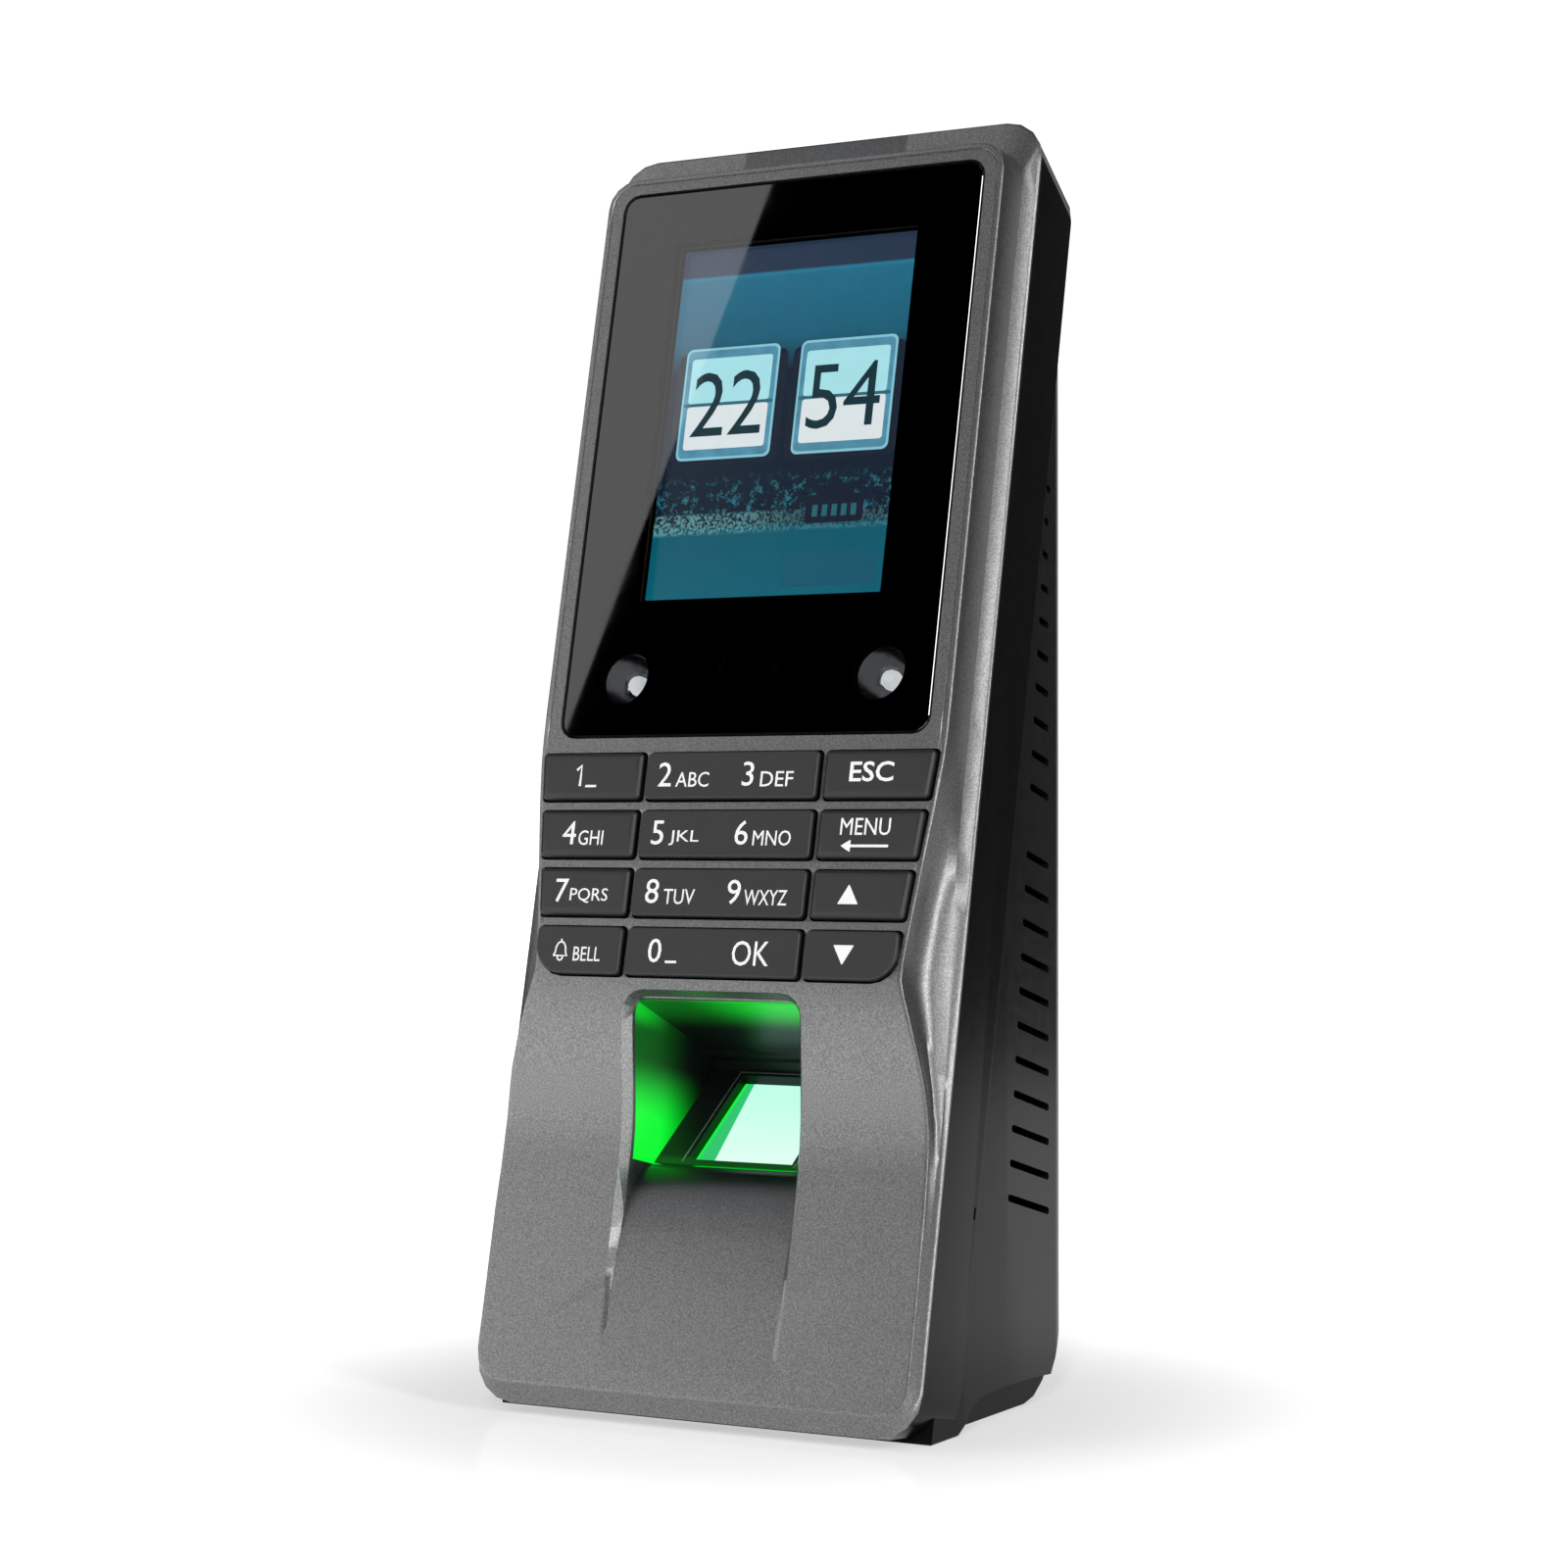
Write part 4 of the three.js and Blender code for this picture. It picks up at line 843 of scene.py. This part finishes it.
class TERMINAL_OT_display(bpy.types.Operator):
    """Adds the window's glass, the picture on the display and its clock cards"""
    bl_idname = "terminal.display"
    bl_label = "Window and Display"

    def execute(self, context):
        settings = context.scene.terminal_display
        nodes = frame["nodes"]
        paint(nodes["display_window"], window_glass())
        scene = picture(tuple(settings.sky), tuple(settings.water), tuple(settings.night))
        paint(nodes["lcd_panel"], scene)
        frame_blue = lit("card_frame", (0.1, 0.33, 0.46), 1.0, 0.45)
        rim = lit("card_rim", (0.3, 0.68, 0.8), 1.0, 0.1)
        shade = lit("card_shadow", (0.006, 0.014, 0.032))
        upper = lit("card_upper", (0.5, 0.93, 1.0))
        lower = lit("card_lower", (0.93, 1.0, 1.0))
        ink = lit("card_ink", (0.004, 0.032, 0.045))
        fold = lit("card_fold", (0.03, 0.16, 0.22))
        panel = lit("notice_panel", (0.006, 0.112, 0.178), 1.0, 0.02)
        roof = lit("pavilion", (0.005, 0.01, 0.03))
        lantern = lit("pavilion_light", (0.02, 0.15, 0.19))
        made = [(lcd_block("notice_panel", (0.575, 0.96), (0.88, 0.975), 0.09), panel)]
        for side, start, digits in (("left", 0.055, settings.hours), ("right", 0.55, settings.minutes)):
            end = start + 0.405
            inner, outer = start + 0.028, end - 0.028
            layers = (
                ("shadow", (start - 0.03, end + 0.035), (0.3, 0.62), 0.07, 1.2, 0.0, shade),
                ("rim", (start, end), (0.285, 0.605), 0.12, 1.1, 0.03, rim),
                ("frame", (start + 0.009, end - 0.009), (0.292, 0.598), 0.14, 0.9, 0.02, frame_blue),
                ("upper", (inner, outer), (0.315, 0.443), 0.18, 0.5, 0.03, upper),
                ("lower", (inner, outer), (0.452, 0.575), 0.18, 0.5, 0.03, lower),
                ("fold", (start + 0.01, end - 0.01), (0.443, 0.452), 0.17, 0.0, 0.0, fold),
            )
            for layer, across, down, rise, corner, edge, material in layers:
                piece = lcd_block(f"card_{layer}_{side}", across, down, rise, corner, edge)
                made.append((piece, material))
            left, base = on_lcd(start + 0.052, 0.538)
            text = lettering(digits, left, base, 10.7, LCD_FACE + 0.21, 12.8, -0.002)
            text.name = f"card_digits_{side}"
            made.append((text, ink))
        made += self.pavilion(roof, lantern)
        for piece, material in made:
            settle(piece)
            dress(piece, material, "root")
        self.bezel()
        return {"FINISHED"}

    def pavilion(self, roof, lantern):
        """A small generic lakeside pavilion: a low roof on posts over a lit platform."""
        parts = (("body", (0.64, 0.88), (0.725, 0.8), 0.08, 0.6),
                 ("eaves", (0.6, 0.92), (0.722, 0.742), 0.11, 0.4),
                 ("top", (0.68, 0.84), (0.695, 0.725), 0.1, 0.5))
        made = [(lcd_block(f"pavilion_{name}", *shape), roof) for name, *shape in parts]
        for i in range(5):
            across = 0.67 + i * 0.04
            bay = lcd_block(f"pavilion_bay_{i}", (across, across + 0.022), (0.75, 0.782), 0.11)
            made.append((bay, lantern))
        return made

    def bezel(self):
        """The display's metal edge, seen as a faint line round the picture."""
        gap, width = 0.35, 0.3
        left, right = LCD_LEFT - gap, LCD_RIGHT + gap
        low, high = LCD_BOTTOM - gap, LCD_TOP + gap
        level = (-1.75, -1.68)
        bars = [
            block("bezel", (left - width, left), (low - width, high + width), level),
            block("bezel", (right, right + width), (low - width, high + width), level),
            block("bezel", (left, right), (high, high + width), level),
            block("bezel", (left, right), (low - width, low), level),
        ]
        edge = settle(join_all("display_edge", bars))
        dress(edge, moulded("edge_bronze", (0.02, 0.016, 0.011), 0.35), "root")


def paint(node, material):
    """Gives a carried-over CAD node its material."""
    node.data.materials.clear()
    node.data.materials.append(material)


class TERMINAL_OT_lamps(bpy.types.Operator):
    """Adds the two lamps in polished bowls and the two small cameras behind the window"""
    bl_idname = "terminal.lamps"
    bl_label = "Lamps and Cameras"

    def execute(self, context):
        nodes = frame["nodes"]
        bowl = metal("polished_bowl", (0.11, 0.11, 0.115), 0.22, grain=1.2)
        lamp = lit("lamp_die", (0.72, 0.73, 0.75), 1.0, 0.4)
        eye = clear_lens("camera_coating", (0.012, 0.014, 0.02))
        barrel = moulded("barrel_plastic", (0.015, 0.015, 0.016), 0.4)
        for side in ("left", "right"):
            dress(refined(f"lamp_reflector_{side}", f"bowl_{side}", 50), bowl, "root")
            dress(refined(f"lamp_led_{side}", f"lamp_{side}", 50), lamp, "root")
            dress(refined(f"camera_lens_{side}", f"eye_{side}", 50), eye, "root")
            dress(refined(f"camera_barrel_{side}", f"barrel_{side}", 50), barrel, "root")
        print_black = moulded("mask_print", (0.0012, 0.0012, 0.0013), 0.7, 3.0, 0.0, gloss=0.0)
        paint(nodes["window_mask"], print_black)
        paint(nodes["window_gasket"], print_black)
        return {"FINISHED"}


# ---- the finger sensor ---------------------------------------------------------------------------
class TERMINAL_OT_sensor(bpy.types.Operator):
    """Adds the lined finger channel and its lit prism"""
    bl_idname = "terminal.sensor"
    bl_label = "Finger Sensor"

    def execute(self, context):
        settings = context.scene.terminal_sensor
        glow = tuple(settings.glow)
        lining = refined("sensor_lining", "channel_lining", 30, 0.05, 0.3)
        dress(lining, channel_lining(glow, settings.strength), "root")
        prism = refined("sensor_prism", "lit_prism", 30, 0.1)
        dress(prism, prism_glow(glow, settings.strength), "root")
        self.surround()
        return {"FINISHED"}

    def surround(self):
        """A slim raised bead round the prism's opening."""
        slope = PRISM_HIGH - PRISM_LOW
        reach, width, rise, height = 1.1, 0.24, 1.3, 0.12
        wide, long = PRISM_HALF + reach, slope.length + reach
        level = (rise - 0.05, rise + height)
        bars = [
            block("bead", (-wide, -wide + width), (-reach, long), level),
            block("bead", (wide - width, wide), (-reach, long), level),
            block("bead", (width - wide, wide - width), (long - width, long), level),
        ]
        piece = join_all("prism_bead", bars)
        ease_front(piece, rise + height, 0.06, 2)
        smooth(piece, 40)
        tilt = math.atan2(slope.z, slope.y)
        piece.matrix_world = Matrix.Translation(PRISM_LOW) @ Matrix.Rotation(tilt, 4, "X")
        settle(piece)
        dress(piece, clear_lens("bead_edge", (0.16, 0.2, 0.18), 0.25), "root")


# ---- everything else -----------------------------------------------------------------------------
class TERMINAL_OT_inner_parts(bpy.types.Operator):
    """Gives the boards, sockets, ribbons and other inner parts their materials"""
    bl_idname = "terminal.inner_parts"
    bl_label = "Inner Parts"

    def execute(self, context):
        finishes = {
            circuit_board(): ("main_board", "camera_board", "keypad_board", "sensor_board", "reset_board"),
            ribbon_film(): ("display_ribbon", "keypad_ribbon"),
            moulded("chip_epoxy", (0.012, 0.012, 0.013), 0.5, 0.2):
                ("processor", "door_relay", "tamper_switch", "reset_switch", "speaker"),
            moulded("socket_nylon", (0.72, 0.7, 0.63), 0.45, 0.4):
                ("network_header", "power_header", "lock_header", "tamper_plunger", "reset_button"),
            moulded("holder_plastic", (0.014, 0.014, 0.015), 0.45): ("cell_holder", "sensor_housing"),
            moulded("soft_rubber", (0.016, 0.016, 0.016), 0.8, 0.4, 0.03): ("keypad_membrane",),
            metal("frame_steel", (0.52, 0.53, 0.54), 0.35, (1.0, 0.05, 1.0)): ("lcd_frame", "backup_cell"),
        }
        for material, names in finishes.items():
            for name in names:
                paint(frame["nodes"][name], material)
        return {"FINISHED"}


class TERMINAL_OT_fixings(bpy.types.Operator):
    """Adds the brushed wall plate and the screws"""
    bl_idname = "terminal.fixings"
    bl_label = "Wall Plate and Screws"

    def execute(self, context):
        plate = refined("wall_plate", "fixing_plate", 32, 0.15)
        dress(plate, metal("plate_steel", (0.5, 0.51, 0.52), 0.34, (0.04, 1.0, 1.0)), "root")
        zinc = metal("screw_zinc", (0.42, 0.42, 0.4), 0.3)
        levels, sides = ("upper", "lower"), ("left", "right")
        screws = [f"case_screw_{level}_{side}" for level in levels for side in sides]
        for name in (*screws, "security_screw"):
            dress(refined(name, name.replace("screw", "bolt"), 40, 0.08), zinc, "root")
        return {"FINISHED"}


# ---- the stage -----------------------------------------------------------------------------------
CAMERA_PLACE = Vector((0.25389, -0.45497, 0.09015))
CAMERA_TURN = math.radians(29.095)
CAMERA_RISE = math.radians(0.725)
CAMERA_LENS = 76.15
FLOOR_GAP = 0.0002


def area_light(name, place, target, size, watts):
    light = bpy.data.lights.new(name, "AREA")
    light.shape = "RECTANGLE"
    light.size, light.size_y = size
    light.energy = watts
    lamp = bpy.data.objects.new(name, light)
    lamp.location = place
    lamp.rotation_euler = (Vector(target) - Vector(place)).to_track_quat("-Z", "Y").to_euler()
    lamp.visible_camera = False
    bpy.context.scene.collection.objects.link(lamp)
    return lamp


def window_point(across, up):
    """A point of the glass, as fractions of its width and height from the lower left corner."""
    return SLAB @ Vector(((2 * across - 1) * WINDOW_HALF, up * WINDOW_TOP, GLASS_FRONT))


def mirrored_softbox(watts, reach=1.1):
    """A softbox whose lower right edge is mirrored in the glass along a slanting line."""
    normal = (SLAB.to_3x3() @ Vector((0, 0, 1))).normalized()
    middle = window_point(0.5, 0.5)
    behind = CAMERA_PLACE - 2 * (CAMERA_PLACE - middle).dot(normal) * normal
    ends = []
    for point in (window_point(0.42, 1.0), window_point(0.02, 0.03)):
        ray = (point - behind).normalized()
        ends.append(point + ray * reach)
    upper, lower = ends
    along = (upper - lower).normalized()
    facing = (middle - (upper + lower) / 2).normalized()
    outwards = facing.cross(along).normalized()
    if (window_point(0.0, 0.9) - window_point(0.3, 0.5)).dot(outwards) < 0:
        outwards = -outwards
    wide, tall = 0.9, 1.6
    centre = (upper + lower) / 2 + outwards * wide / 2
    lamp = area_light("mirrored_softbox", centre, middle, (wide, tall), watts)
    side = outwards if outwards.cross(along).dot(facing) < 0 else -outwards
    lamp.rotation_euler = Matrix((side, along, side.cross(along))).transposed().to_euler()


def black_flag(name, place, size):
    """A dark panel, seen only in reflections, that keeps the pale backdrop out of the black sides."""
    bpy.ops.object.select_all(action="DESELECT")
    bpy.ops.mesh.primitive_plane_add(size=1, location=place)
    flag = bpy.context.object
    flag.name = name
    flag.scale = (*size, 1)
    flag.rotation_euler = (-Vector((place[0], place[1], 0))).to_track_quat("Z", "Y").to_euler()
    flag.visible_camera = False
    flag.visible_shadow = False
    flag.visible_diffuse = False
    finish = Finish("flag_cloth")
    tone = finish.mix(finish.noise(3.0, 2), (0.0, 0.0, 0.0), (0.004, 0.004, 0.004))
    flag.data.materials.append(finish.surface(Base_Color=tone, Roughness=0.9, Specular_IOR_Level=0.0))


def stage_surface():
    """Pale, slightly glossy floor whose glow is dimmed round the object as a painted shadow."""
    finish = Finish("stage_paint")
    rough = 0.12 + 0.05 * finish.noise(40.0, 2)
    away = finish.add("ShaderNodeVectorMath", {0: finish.place()}, output=1, operation="LENGTH")
    # painted shadow: the glow drops to about half within a few centimetres of the origin, under the object
    glow = finish.mix(finish.step(away, 0.04, 0.125), (0.52, 0.52, 0.52), (1.0, 1.0, 1.0))
    return finish.surface(Base_Color=(0.85, 0.85, 0.85), Roughness=rough, Emission_Color=glow,
                          Emission_Strength=1.0)


class TERMINAL_OT_stage(bpy.types.Operator):
    """Adds the pale floor with its backdrop, the studio lights and the camera"""
    bl_idname = "terminal.stage"
    bl_label = "Stage"

    def execute(self, context):
        settings = context.scene.terminal_stage
        size = settings.floor_size
        bpy.ops.object.select_all(action="DESELECT")
        bpy.ops.mesh.primitive_plane_add(size=size, location=(0, 0, -FLOOR_GAP))
        floor = context.object
        floor.name = "floor"
        with editing(floor, edges=lambda a, b: a.y > 0 and b.y > 0):
            bpy.ops.mesh.extrude_region_move(TRANSFORM_OT_translate={"value": (0, 0, size / 2)})
        with editing(floor, edges=lambda a, b: abs(a.z - b.z) < 1e-6 and a.y > 0 and b.y > 0 and a.z < 0.1):
            bpy.ops.mesh.bevel(offset=size / 5, segments=settings.steps, affect="EDGES")
        apply_place(floor)
        smooth(floor, 60)
        floor.data.materials.append(stage_surface())
        floor.visible_diffuse = False

        world = bpy.data.worlds.new("studio_air")
        world.use_nodes = True
        background = world.node_tree.nodes["Background"]
        background.inputs["Color"].default_value = (1.0, 1.0, 1.0, 1.0)
        background.inputs["Strength"].default_value = 0.95
        world.cycles_visibility.diffuse = False
        world.cycles_visibility.glossy = False
        context.scene.world = world

        mirrored_softbox(settings.softbox)
        area_light("strip_right", (0.9, -0.38, 0.3), (0, 0, 0.1), (0.1, 1.0), settings.strip)
        area_light("low_left", (-0.75, -1.0, 0.14), (0, 0, 0.06), (0.9, 0.66), settings.fill)
        area_light("strip_front", (0.36, -0.85, 0.5), (0, 0, 0.12), (0.08, 0.6), settings.glint)
        area_light("backlight", (0, 0.9, 1.9), (0, 1.6, 0), (2.4, 1.0), settings.backlight)
        black_flag("flag_right", (0.42, 0.5, 0.3), (0.7, 1.0))
        black_flag("flag_left", (-0.5, 0.6, 0.5), (1.2, 1.7))

        camera = bpy.data.cameras.new("view")
        camera.lens = CAMERA_LENS
        camera.sensor_width = 36
        camera.clip_start = 0.01
        eye = bpy.data.objects.new("view", camera)
        eye.location = CAMERA_PLACE
        eye.rotation_euler = (math.pi / 2 + CAMERA_RISE, 0, CAMERA_TURN)
        context.scene.collection.objects.link(eye)
        context.scene.camera = eye
        context.scene.view_settings.view_transform = "Standard"
        return {"FINISHED"}


OPERATORS = (
    TERMINAL_OT_front_case,
    TERMINAL_OT_rear_case,
    TERMINAL_OT_key_caps,
    TERMINAL_OT_key_legends,
    TERMINAL_OT_display,
    TERMINAL_OT_lamps,
    TERMINAL_OT_sensor,
    TERMINAL_OT_inner_parts,
    TERMINAL_OT_fixings,
    TERMINAL_OT_stage,
)


class TERMINAL_PT_pieces(bpy.types.Panel):
    """Lists the terminal's settings and pieces"""
    bl_label = "Fingerprint Terminal"
    bl_space_type = "VIEW_3D"
    bl_region_type = "UI"
    bl_category = "Terminal"

    def draw(self, context):
        for pointer, group in SETTINGS.items():
            box = self.layout.box()
            for name in group.__annotations__:
                box.prop(getattr(context.scene, pointer), name)
        for operator in OPERATORS:
            self.layout.operator(operator.bl_idname)


def register():
    for group in SETTINGS.values():
        bpy.utils.register_class(group)
    for pointer, group in SETTINGS.items():
        setattr(bpy.types.Scene, pointer, PointerProperty(type=group))
    for cls in (*OPERATORS, TERMINAL_PT_pieces):
        bpy.utils.register_class(cls)


def unregister():
    for cls in (TERMINAL_PT_pieces, *reversed(OPERATORS)):
        bpy.utils.unregister_class(cls)
    for pointer, group in reversed(SETTINGS.items()):
        delattr(bpy.types.Scene, pointer)
        bpy.utils.unregister_class(group)


def main():
    register()
    for operator in OPERATORS:
        group, name = operator.bl_idname.split(".")
        getattr(getattr(bpy.ops, group), name)()


if __name__ == "__main__":
    main()
